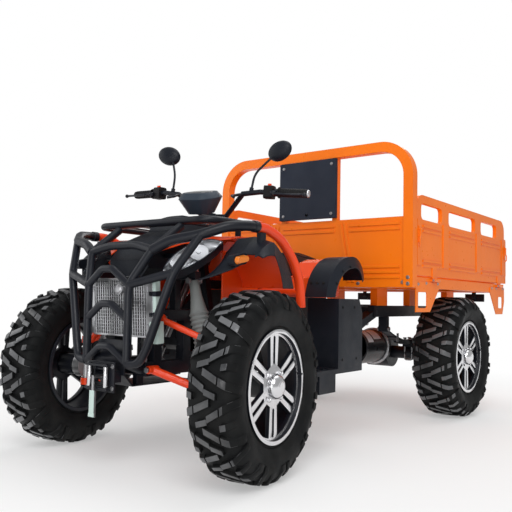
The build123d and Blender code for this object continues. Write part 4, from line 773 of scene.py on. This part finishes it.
# The guard arches over the wheel: distance behind the axle and height
GUARD_X = 450
GUARD = ((60.3, 890), (110, 890), (202, 862), (291, 787), (343, 699), (354, 598))
bm = bmesh.new()
for points, diameter in BUMPER_TUBES:
    add_tube(bm, [place(*point) for point in points], diameter * MM / 2, mirrored=True)
for sign in SIDES:
    # The sleeve that joins the bumper's upper tube to the fender guard
    add_pin(bm, sign * GUARD_X, 890, 34, 58, 0.0215, 24)
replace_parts(piece("bumper_tubes", bm, "black_paint"), "front_bumper")
bm = bmesh.new()
add_tube(bm, [place(GUARD_X, *point) for point in GUARD], 0.019, 0.07, mirrored=True)
add_tube(bm, [place(GUARD_X, 345, 658), place(130.3, 345, 658)], 0.015, mirrored=True)
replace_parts(piece("guard_tubes", bm, "frame_paint"), "fender_guards")
print("bumper tubes", len(BUMPER_TUBES) * len(SIDES))

# %% [markdown]
# ## Seat
# The saddle is foam under stretched vinyl. The frame's solid, made a little smaller, is
# remeshed fine and blown up with cloth simulation, its points held within a few centimetres
# of where they began. Piping runs round the edge where the cover's panels are sewn together.

# %% Seat cushion
SEAT_VOXEL, SEAT_CAP, SEAT_SHRINK = 0.006, 0.028, (0.99, 0.975, 0.99, 1)
CLOTH_STEPS, SEAM_POINTS = 20, 13


def apply_modifiers(thing):
    """Replace a mesh by what its modifiers make of it."""
    held = bpy.context.evaluated_depsgraph_get()
    mesh = bpy.data.meshes.new_from_object(thing.evaluated_get(held))
    thing.modifiers.clear()
    old, thing.data = thing.data, mesh
    bpy.data.meshes.remove(old)


bm = merged_copy("seat")
low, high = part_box("seat")
move(bm, about((Vector(low) + Vector(high)) / 2, Matrix.Diagonal(SEAT_SHRINK)))
bmesh.ops.triangulate(bm, faces=bm.faces)
cushion = piece("seat_cushion", bm, "seat_cover")
remesh = cushion.modifiers.new("remesh", "REMESH")
remesh.mode = "VOXEL"
remesh.voxel_size = SEAT_VOXEL
apply_modifiers(cushion)
start = [vert.co.copy() for vert in cushion.data.vertices]
cloth = cushion.modifiers.new("cloth", "CLOTH")
cloth.settings.use_pressure = True
cloth.settings.uniform_pressure_force = 4
cloth.settings.effector_weights.gravity = 0
for number in range(1, CLOTH_STEPS + 1):
    scene.frame_set(number)
apply_modifiers(cushion)
scene.frame_set(1)
for vert, origin in zip(cushion.data.vertices, start):
    shift = vert.co - origin
    if shift.length > SEAT_CAP:
        vert.co = origin + shift.normalized() * SEAT_CAP
    vert.co.z = max(vert.co.z, low[2] + 0.0004)
    vert.co.y = min(max(vert.co.y, low[1]), high[1])
cushion.data.shade_smooth()
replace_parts(cushion, "seat")
bm = bmesh.new()
# The seam stands where the cushion's side turns into its top: measured on the swollen cushion
for sign in SIDES:
    seam = []
    for number in range(SEAM_POINTS):
        y = low[1] + 0.06 + (high[1] - low[1] - 0.085) * number / (SEAM_POINTS - 1)
        near = [vert.co for vert in cushion.data.vertices
                if abs(vert.co.y - y) < SEAT_VOXEL and sign * vert.co.x > 0.08]
        seam.append(max(near, key=lambda co: sign * co.x * 0.72 + co.z * 0.7).copy())
    add_tube(bm, seam, 0.0032, 0.02)
piece("seat_piping", bm, "black_plastic")
print("seat points", len(cushion.data.vertices))

# %% [markdown]
# ## Handlebar controls
# Everything on the bar turns with the steering column. The parts are laid out straight
# ahead, as the fitter sees them, and one matrix then turns them as far as the parked
# vehicle is steered. Each side has a ribbed grip with a pale end plug, a clamp with a brake
# lever, and switches on the housing.

# %% Levers, switches and grips
COLUMN_FOOT = place(0, 13, 380)
COLUMN_TILT = math.radians(28.5)
column_line = Vector((0, math.sin(COLUMN_TILT), math.cos(COLUMN_TILT)))
STEERED = about(COLUMN_FOOT, Matrix.Rotation(STEER_REST, 4, column_line))
BAR_END = place(455, 330, 1082)
BAR_OUT = (BAR_END - place(250, 296, 1086)).normalized()
LEVER_AHEAD = Vector((0, -1, -0.22)).normalized()
BAR_UP = BAR_OUT.cross(LEVER_AHEAD).normalized()
if BAR_UP.z < 0:
    BAR_UP = -BAR_UP
# Along the bar from its end, in metres: ribs, clamp and switch housing
FIRST_RIB, RIB_STEP, RIBS = 0.012, 0.010, 11
CLAMP = 0.137
SWITCHES = ((0.176, 0.012, 0.005), (0.176, -0.010, 0.005), (0.158, 0.002, 0.006))


def on_bar(out, ahead=0.0, up=0.0):
    """A point on the bar: metres inwards from its end, ahead of it and above it."""
    return BAR_END - BAR_OUT * out + LEVER_AHEAD * ahead + BAR_UP * up


bm = bmesh.new()
for number in range(RIBS):
    out = FIRST_RIB + number * RIB_STEP
    add_rod(bm, on_bar(out - 0.0035), on_bar(out + 0.0035), 0.0183, 24)
add_rod(bm, on_bar(0.120), on_bar(0.125), 0.0235, 28)
soften(bm, 0.0008, 1)
both_sides(bm, STEERED)
piece("grip_ribs", bm, "grip", "steering")

bm = bmesh.new()
add_rod(bm, on_bar(0.0), on_bar(-0.007), 0.0165, 28, 0.013)
soften(bm, 0.0015)
both_sides(bm, STEERED)
piece("bar_plugs", bm, "silver", "steering")

bm = bmesh.new()
add_rod(bm, on_bar(0.130), on_bar(0.144), 0.0165, 24)
perch = Matrix.Translation(on_bar(CLAMP)) @ LEVER_AHEAD.to_track_quat("Z", "Y").to_matrix().to_4x4()
add_box(bm, (-0.010, -0.008, 0.0), (0.010, 0.008, 0.036), perch)
add_rod(bm, on_bar(CLAMP, 0.030, -0.010), on_bar(CLAMP, 0.030, 0.010), 0.007, 16)
soften(bm, 0.0015)
lever = [on_bar(CLAMP, 0.030), on_bar(0.120, 0.052), on_bar(0.060, 0.060), on_bar(0.004, 0.050),
         on_bar(-0.012, 0.056)]
add_tube(bm, lever, 0.0052, 0.02)
add_ball(bm, lever[-1], 0.0085, 16, 8)
both_sides(bm, STEERED)
piece("brake_levers", bm, "black_paint", "steering")

bm = bmesh.new()
for out, up, size in SWITCHES:
    add_box(bm, (-size, -size * 0.8, 0), (size, size * 0.8, 0.006),
            axes(BAR_OUT, BAR_UP, -LEVER_AHEAD, on_bar(out, -0.0255, up)))
add_rod(bm, on_bar(0.165, 0.0, 0.026), on_bar(0.165, 0.0, 0.036), 0.008, 16)
soften(bm, 0.0008)
both_sides(bm, STEERED)
piece("switches", bm, "frame_paint", "steering")
print("controls on the bar placed")

# %% [markdown]
# ## Instrument pod and mirrors
# The pod is blow-moulded, so the frame's facets become rounded edges, and a dark blank
# display lies in its top. Each mirror is a shell with a glass on the rider's side.

# %% Pod and mirrors
POD_MIDDLE = place(0, 228, 1034)
POD_WIDTH = 0.84
bm = merged_copy("instrument_pod")
face_out(bm)
soften(bm, 0.010, 4, 20)
pod_side = STEERED.to_3x3() @ Vector((1, 0, 0))
for vert in bm.verts:
    vert.co -= pod_side * (vert.co - STEERED @ POD_MIDDLE).dot(pod_side) * (1 - POD_WIDTH)
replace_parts(piece("pod_shell", bm, "dark_plastic", "steering"), "instrument_pod")


def add_disc(bm, frame_matrix, height, half_width, half_height, thickness, bevel=0.97):
    """A thin oval disc at a height over a local frame."""
    local = Matrix.Translation((0, 0, height)) @ Matrix.Diagonal((half_width, half_height, 1, 1))
    bmesh.ops.create_cone(bm, cap_ends=True, segments=48, radius1=1, radius2=bevel, depth=thickness,
                          matrix=frame_matrix @ local)


pod_out = Vector((0, -0.25, 1)).normalized()
pod_frame = STEERED @ axes(Vector((1, 0, 0)), pod_out.cross(Vector((1, 0, 0))), pod_out, POD_MIDDLE)
bm = bmesh.new()
add_disc(bm, pod_frame, 0.0445, 0.056, 0.0448, 0.003, 27 / 28)
soften(bm, 0.001)
piece("pod_display", bm, "display_glass", "steering")

MIRROR_SIZE, GLASS_SIZE = (0.060, 0.043, 0.028, 1), (0.055, 0.038)
STALK = (place(208, 293, 1093.3), place(212, 306, 1165), place(270, 353, 1248))
mirror_out = Vector((0.12, 1, 0)).normalized()
mirror_along = Vector((1, 0, 0.25))
mirror_along = (mirror_along - mirror_out * mirror_along.dot(mirror_out)).normalized()
mirror_frame = axes(mirror_along, mirror_out.cross(mirror_along), mirror_out, place(296, 358, 1268))
bm = bmesh.new()
shell = mirror_frame @ Matrix.Translation((0, 0, 0.002)) @ Matrix.Diagonal(MIRROR_SIZE)
bmesh.ops.create_uvsphere(bm, u_segments=40, v_segments=20, radius=1, matrix=shell)
bmesh.ops.bisect_plane(bm, geom=everything(bm), clear_outer=True,
                       plane_co=mirror_frame @ Vector((0, 0, 0.003)), plane_no=mirror_out)
bmesh.ops.holes_fill(bm, edges=[edge for edge in bm.edges if edge.is_boundary])
soften(bm, 0.002)
add_tube(bm, STALK, 0.005, 0.03)
add_rod(bm, place(208, 293, 1090), place(208.6, 295, 1104), 0.009, 16)
add_ball(bm, STALK[-1], 0.011, 16, 10)
both_sides(bm, STEERED)
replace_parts(piece("mirror_shells", bm, "black_plastic", "steering"), "mirrors")
bm = bmesh.new()
add_disc(bm, mirror_frame, 0.0036, *GLASS_SIZE, 0.0014)
both_sides(bm, STEERED)
piece("mirror_glass", bm, "rim", "steering")
print("mirror glass in m", [2 * half for half in GLASS_SIZE])

# %% [markdown]
# ## Bolts and pins
# Hardware tells how a vehicle is put together. One table holds every bolt head: the body it
# moves with, the way it faces, its radius and its places, and one piece is made for each
# body. Hexagon heads sit on a thin washer.

# %% Bolts
LEFT, AHEAD, REARWARD, UPWARD = Vector((1, 0, 0)), Vector((0, -1, 0)), Vector((0, 1, 0)), Vector((0, 0, 1))
BED_HEAD, SIDE_HINGES, TAIL_HINGES = 1085, (1353, 2373), (-420, 420)
BACKREST = BED_HEAD - 12
BOLTS = (
    # body, facing, radius in mm, places, mirrored
    ("vehicle", LEFT, 6, [(590, 1160, 715)] + [(590, y, 722) for y in (1255, 1400, 2250, 2330, 2460)], True),
    ("vehicle", AHEAD, 7, [(570, BED_HEAD, 715), (570, BED_HEAD, 745), (540, BED_HEAD + 8, 722),
                           (300, BED_HEAD + 8, 716)], True),
    ("vehicle", AHEAD, 6, [(150, BACKREST, 1075), (150, BACKREST, 1335), (0, BACKREST, 1075)], True),
    ("vehicle", REARWARD, 8, [(250, 2440, 575)], True),
    ("vehicle", AHEAD, 6, [(66, -269, 300), (66, -269, 378)], True),
    ("vehicle", UPWARD, 5, [(x, y, 921) for x in (225, 140) for y in (30, 200)], True),
    ("side", LEFT, 5, [(590, hinge + step, 788) for hinge in SIDE_HINGES for step in (-18, 18)], True),
    ("tailgate", REARWARD, 5, [(hinge + step, 2520, 788) for hinge in TAIL_HINGES for step in (-18, 18)],
     False),
)
heads = {}
for body, facing, radius, spots, mirrored in BOLTS:
    for sign in SIDES if mirrored else (1,):
        name = body if body != "side" else ("side_left" if sign > 0 else "side_right")
        bm = heads.setdefault(name, bmesh.new())
        way = Vector((facing.x * sign, facing.y, facing.z))
        for x, distance, z in spots:
            foot = place(sign * x, distance, z)
            add_rod(bm, foot - way * 0.001, foot + way * 0.0012, radius * MM * 1.35, 16)
            add_rod(bm, foot, foot + way * radius * MM * 0.8, radius * MM, 6, radius * MM * 0.92)
for sign in SIDES:
    for hinge in SIDE_HINGES:
        for end in (-1, 1):
            add_pin(heads["vehicle"], sign * 603, 738, hinge + end * 36, hinge + end * 40, 0.006)
for name, bm in heads.items():
    piece(f"bolts_{name}", bm, "steel", name)
print("bolt groups", len(heads))

# %% [markdown]
# ## Bed latches
# A drop side is held shut by a lever latch near the top of its panel, at each end. A latch is
# a base plate, a pivoting lever and a loop.

# %% Latches
LATCHES = ((1156, -1), (2478, 1))
for sign, body in ((1, "side_left"), (-1, "side_right")):
    bm = bmesh.new()
    for distance, toward in LATCHES:
        add_box(bm, place(sign * 595, distance - 8, 915), place(sign * 599, distance + 8, 1000))
        add_box(bm, place(sign * 599, distance - 6, 940), place(sign * 607, distance + 6, 985))
        add_pin(bm, sign * 603, 978, distance - 10, distance + 10, 0.004)
    soften(bm, 0.001)
    for distance, toward in LATCHES:
        hook = distance + toward * 12
        loop = ((603, distance, 950), (606, hook, 935), (606, hook, 905), (600, distance, 895))
        add_tube(bm, [place(sign * x, y, z) for x, y, z in loop], 0.003, 0.008)
    piece(f"latches_{body}", bm, "bed_paint", body)
print("latches", len(LATCHES) * len(SIDES))

# %% [markdown]
# ## Motor
# The drive motor is a drum between two cast end rings, bolted to the axle by a bright flange.
# Two pale stickers show on it in the photograph. They stay blank here.

# %% Motor dress
MOTOR_X, MOTOR_Z, MOTOR_RADIUS = 60, 365, 0.095
FLANGE_BOLTS = 8
# Stickers: front and rear end, and first and last angle up from the left in degrees
STICKERS = ((1500, 1560, 20, 75), (1575, 1660, 30, 80))
bm = bmesh.new()
for start, end in ((1464, 1480), (1700, 1712)):
    add_pin(bm, MOTOR_X, MOTOR_Z, start, end, MOTOR_RADIUS + 0.002, 64)
soften(bm, 0.0015)
piece("motor_rings", bm, "motor")
bm = bmesh.new()
add_pin(bm, MOTOR_X, MOTOR_Z, 1716, 1725, MOTOR_RADIUS + 0.012, 64)
soften(bm, 0.0015)
for number in range(FLANGE_BOLTS):
    angle = math.tau * number / FLANGE_BOLTS
    spot = Vector((math.cos(angle), 0, math.sin(angle))) * (MOTOR_RADIUS + 0.004)
    add_rod(bm, place(MOTOR_X, 1716, MOTOR_Z) + spot, place(MOTOR_X, 1709, MOTOR_Z) + spot, 0.006, 6)
piece("motor_flange", bm, "silver")
bm = bmesh.new()
for start, end, first, last in STICKERS:
    drum = bmesh.new()
    around = MOTOR_RADIUS + 0.0006
    bmesh.ops.create_cone(drum, cap_ends=False, segments=72, radius1=around, radius2=around,
                          depth=(end - start) * MM, matrix=Matrix.Rotation(math.pi / 2, 4, "X"))
    outside = []
    for face in drum.faces:
        middle = face.calc_center_median()
        if not first < math.degrees(math.atan2(middle.z, middle.x)) < last:
            outside.append(face)
    bmesh.ops.delete(drum, geom=outside, context="FACES")
    bmesh.ops.translate(drum, verts=drum.verts, vec=place(MOTOR_X, (start + end) / 2, MOTOR_Z))
    join(bm, drum)
bmesh.ops.solidify(bm, geom=bm.faces[:], thickness=0.0004)
piece("motor_stickers", bm, "sticker")
print("motor dressed")

# %% [markdown]
# ## Coolant bottle and winch fittings
# Left of the radiator the photograph shows a long pale bottle under black straps. The winch
# has two bright upright rollers, and a short pale strap ends in its hook.

# %% Coolant bottle and winch
bm = bmesh.new()
add_box(bm, (0.160, 0.02, -0.030), (0.190, 0.215, -0.002), radiator_frame)
add_box(bm, (0.158, -0.02, -0.034), (0.200, 0.06, 0.002), radiator_frame)
soften(bm, 0.005, 3)
piece("coolant_bottle", bm, "pale_plastic")
bm = bmesh.new()
for height in (0.075, 0.150):
    add_box(bm, (0.157, height, -0.032), (0.193, height + 0.018, 0.0), radiator_frame)
neck = [radiator_frame @ Vector((0.175, height, -0.016)) for height in (0.214, 0.228)]
add_rod(bm, *neck, 0.011, 20)
soften(bm, 0.001)
piece("bottle_straps", bm, "black_plastic")

bm = bmesh.new()
for sign in SIDES:
    add_rod(bm, place(sign * 44, -280, 302), place(sign * 44, -280, 376), 0.0085, 24)
soften(bm, 0.0012)
piece("winch_rollers", bm, "rim")
bm = bmesh.new()
add_box(bm, place(-13, -305, 206), place(13, -303, 292))
add_box(bm, place(-15, -306, 198), place(15, -302, 212))
soften(bm, 0.001)
piece("hook_strap", bm, "pale_plastic")
print("winch dressed")

# %% [markdown]
# ## Suspension hardware
# The shocks stand in rubber boots between two eyes with bolts through them. The wishbones
# turn on bolts at the frame and end in ball joints with small boots. At the back, U-bolts
# clamp the leaves to the axle, and clips keep the leaves in line.

# %% Suspension hardware
ARM_X = 145
# Arms: height, and the distances of their front and rear bushes
ARMS = ((550, -124, 100), (365, -150, 110))
SHOCK_EYES = ((205, 691), (300, 304))
# Folds of a ball joint's boot: depth in fifths of a millimetre and radius
FOLDS = ((0, 0.0234), (6, 0.0207), (10, 0.0225), (15, 0.018))
bm = bmesh.new()
for z, *bushes in ARMS:
    for distance in bushes:
        add_pin(bm, ARM_X, z, distance - 30, distance + 30, 0.007)
        for end in (-1, 1):
            add_pin(bm, ARM_X, z, distance + end * 27, distance + end * 33, 0.011, 6)
for x, z in SHOCK_EYES:
    add_pin(bm, x, z, -40, 26, 0.007)
    for distance in (-42, 22):
        add_pin(bm, x, z, distance, distance + 6, 0.012, 6)
both_sides(bm)
piece("arm_bolts", bm, "steel")

bm = bmesh.new()
for z in (440, 262):
    for step, radius in FOLDS:
        fold = z - 14 - step * 0.2
        add_rod(bm, place(KINGPIN_X, 0, fold), place(KINGPIN_X, 0, fold - 3), radius, 20)
both_sides(bm)
piece("ball_boots", bm, "grip")

bm = bmesh.new()
for distance in (1800, 1860):
    for x in (228, 272):
        add_rod(bm, place(x, distance, 300), place(x, distance, 420), 0.006, 12)
        add_rod(bm, place(x, distance, 412), place(x, distance, 420), 0.0105, 6)
    u_bolt = ((228, 320), (228, 292), (272, 292), (272, 320))
    add_tube(bm, [place(x, distance, z) for x, z in u_bolt], 0.006, 0.015)
for distance in (1600, 2060):
    for x in (223.5, 276.5):
        add_box(bm, place(x - 1.5, distance - 12, 404), place(x + 1.5, distance + 12, 452))
for distance in (1480, 2180):
    add_rod(bm, place(218, distance, 478), place(282, distance, 478), 0.008, 16)
    for x in (216, 280):
        add_rod(bm, place(x, distance, 478), place(x + 5, distance, 478), 0.013, 6)
soften(bm, 0.0006, 1)
both_sides(bm)
piece("spring_hardware", bm, "steel")
print("suspension dressed")

# %% [markdown]
# ## Tail lamps
# The photograph does not show the back. A vehicle of this kind carries a lamp with red and
# amber fields at each end of the frame under the tailgate.

# %% Tail lamps
TAIL_LAMPS = (
    # name, finish, boxes: x, distance and height from and to
    ("tail_lamp_bases", "black_plastic", ((338, 462, 2484, 2500, 638, 688),
                                          (388, 412, 2470, 2486, 660, 700))),
    ("tail_lamp_red", "red_lens", ((386, 458, 2498, 2512, 642, 684),)),
    ("tail_lamp_amber", "amber", ((342, 382, 2498, 2512, 642, 684),)),
)
for name, finish, boxes in TAIL_LAMPS:
    bm = bmesh.new()
    for left, right_end, front, back, low, high in boxes:
        add_box(bm, place(left, front, low), place(right_end, back, high))
    soften(bm, 0.003, 3)
    both_sides(bm)
    lamp = piece(name, bm, finish)
print("tail lamp pieces", len(TAIL_LAMPS))

# %% [markdown]
# ## Wheel-well liners
# Behind each front wheel a red moulded sheet closes the well, so that mud stays off the
# rider. It hangs just inside the black fender's rear leg. Its profile is drawn as a chain of
# edges, stretched across with an extrusion and given its thickness.

# %% Liners
LINER_PROFILE = ((60, 806), (110, 802), (150, 784), (192, 742), (219, 700), (224, 672))
LINER_FROM, LINER_TO, LINER_WALL = 257, 474, 0.003
bm = bmesh.new()
chain = [bm.verts.new(place(LINER_FROM, *spot)) for spot in LINER_PROFILE]
edges = [bm.edges.new(pair) for pair in zip(chain, chain[1:])]
stretched = bmesh.ops.extrude_edge_only(bm, edges=edges)["geom"]
moved = [item for item in stretched if isinstance(item, bmesh.types.BMVert)]
bmesh.ops.translate(bm, verts=moved, vec=((LINER_TO - LINER_FROM) * MM, 0, 0))
face_out(bm)
bmesh.ops.solidify(bm, geom=bm.faces[:], thickness=LINER_WALL)
both_sides(bm)
piece("well_liners", bm, "frame_paint")
print("liners", len(SIDES))

# %% [markdown]
# ## Rivets
# Moulded panels are held by push rivets: a wide flat head with a small pin in its middle.
# The flares, the footwells and the cowl have them along their edges.

# %% Rivets
RIVETS = (
    # facing (left side), places
    ((1, 0, 0), ((502, 548, 700), (502, 600, 752), (502, 660, 774))),
    ((0, -1, 0.4), ((430, 505, 700), (400, 505, 700), (460, 505, 700))),
    ((1, 0, 0), ((500, 600, 600), (500, 700, 600), (500, 600, 380), (500, 720, 380))),
    ((0, 0, 1), ((130, 120, 874), (200, 150, 868), (200, 60, 869))),
)
bm = bmesh.new()
for facing, spots in RIVETS:
    way = Vector(facing).normalized()
    for spot in spots:
        foot = place(*spot)
        add_rod(bm, foot - way * 0.002, foot + way * 0.0015, 0.007, 16, 0.006)
        add_rod(bm, foot, foot + way * 0.0025, 0.0032, 12)
both_sides(bm)
piece("rivets", bm, "grip")
print("rivets", sum(len(spots) for facing, spots in RIVETS) * len(SIDES))
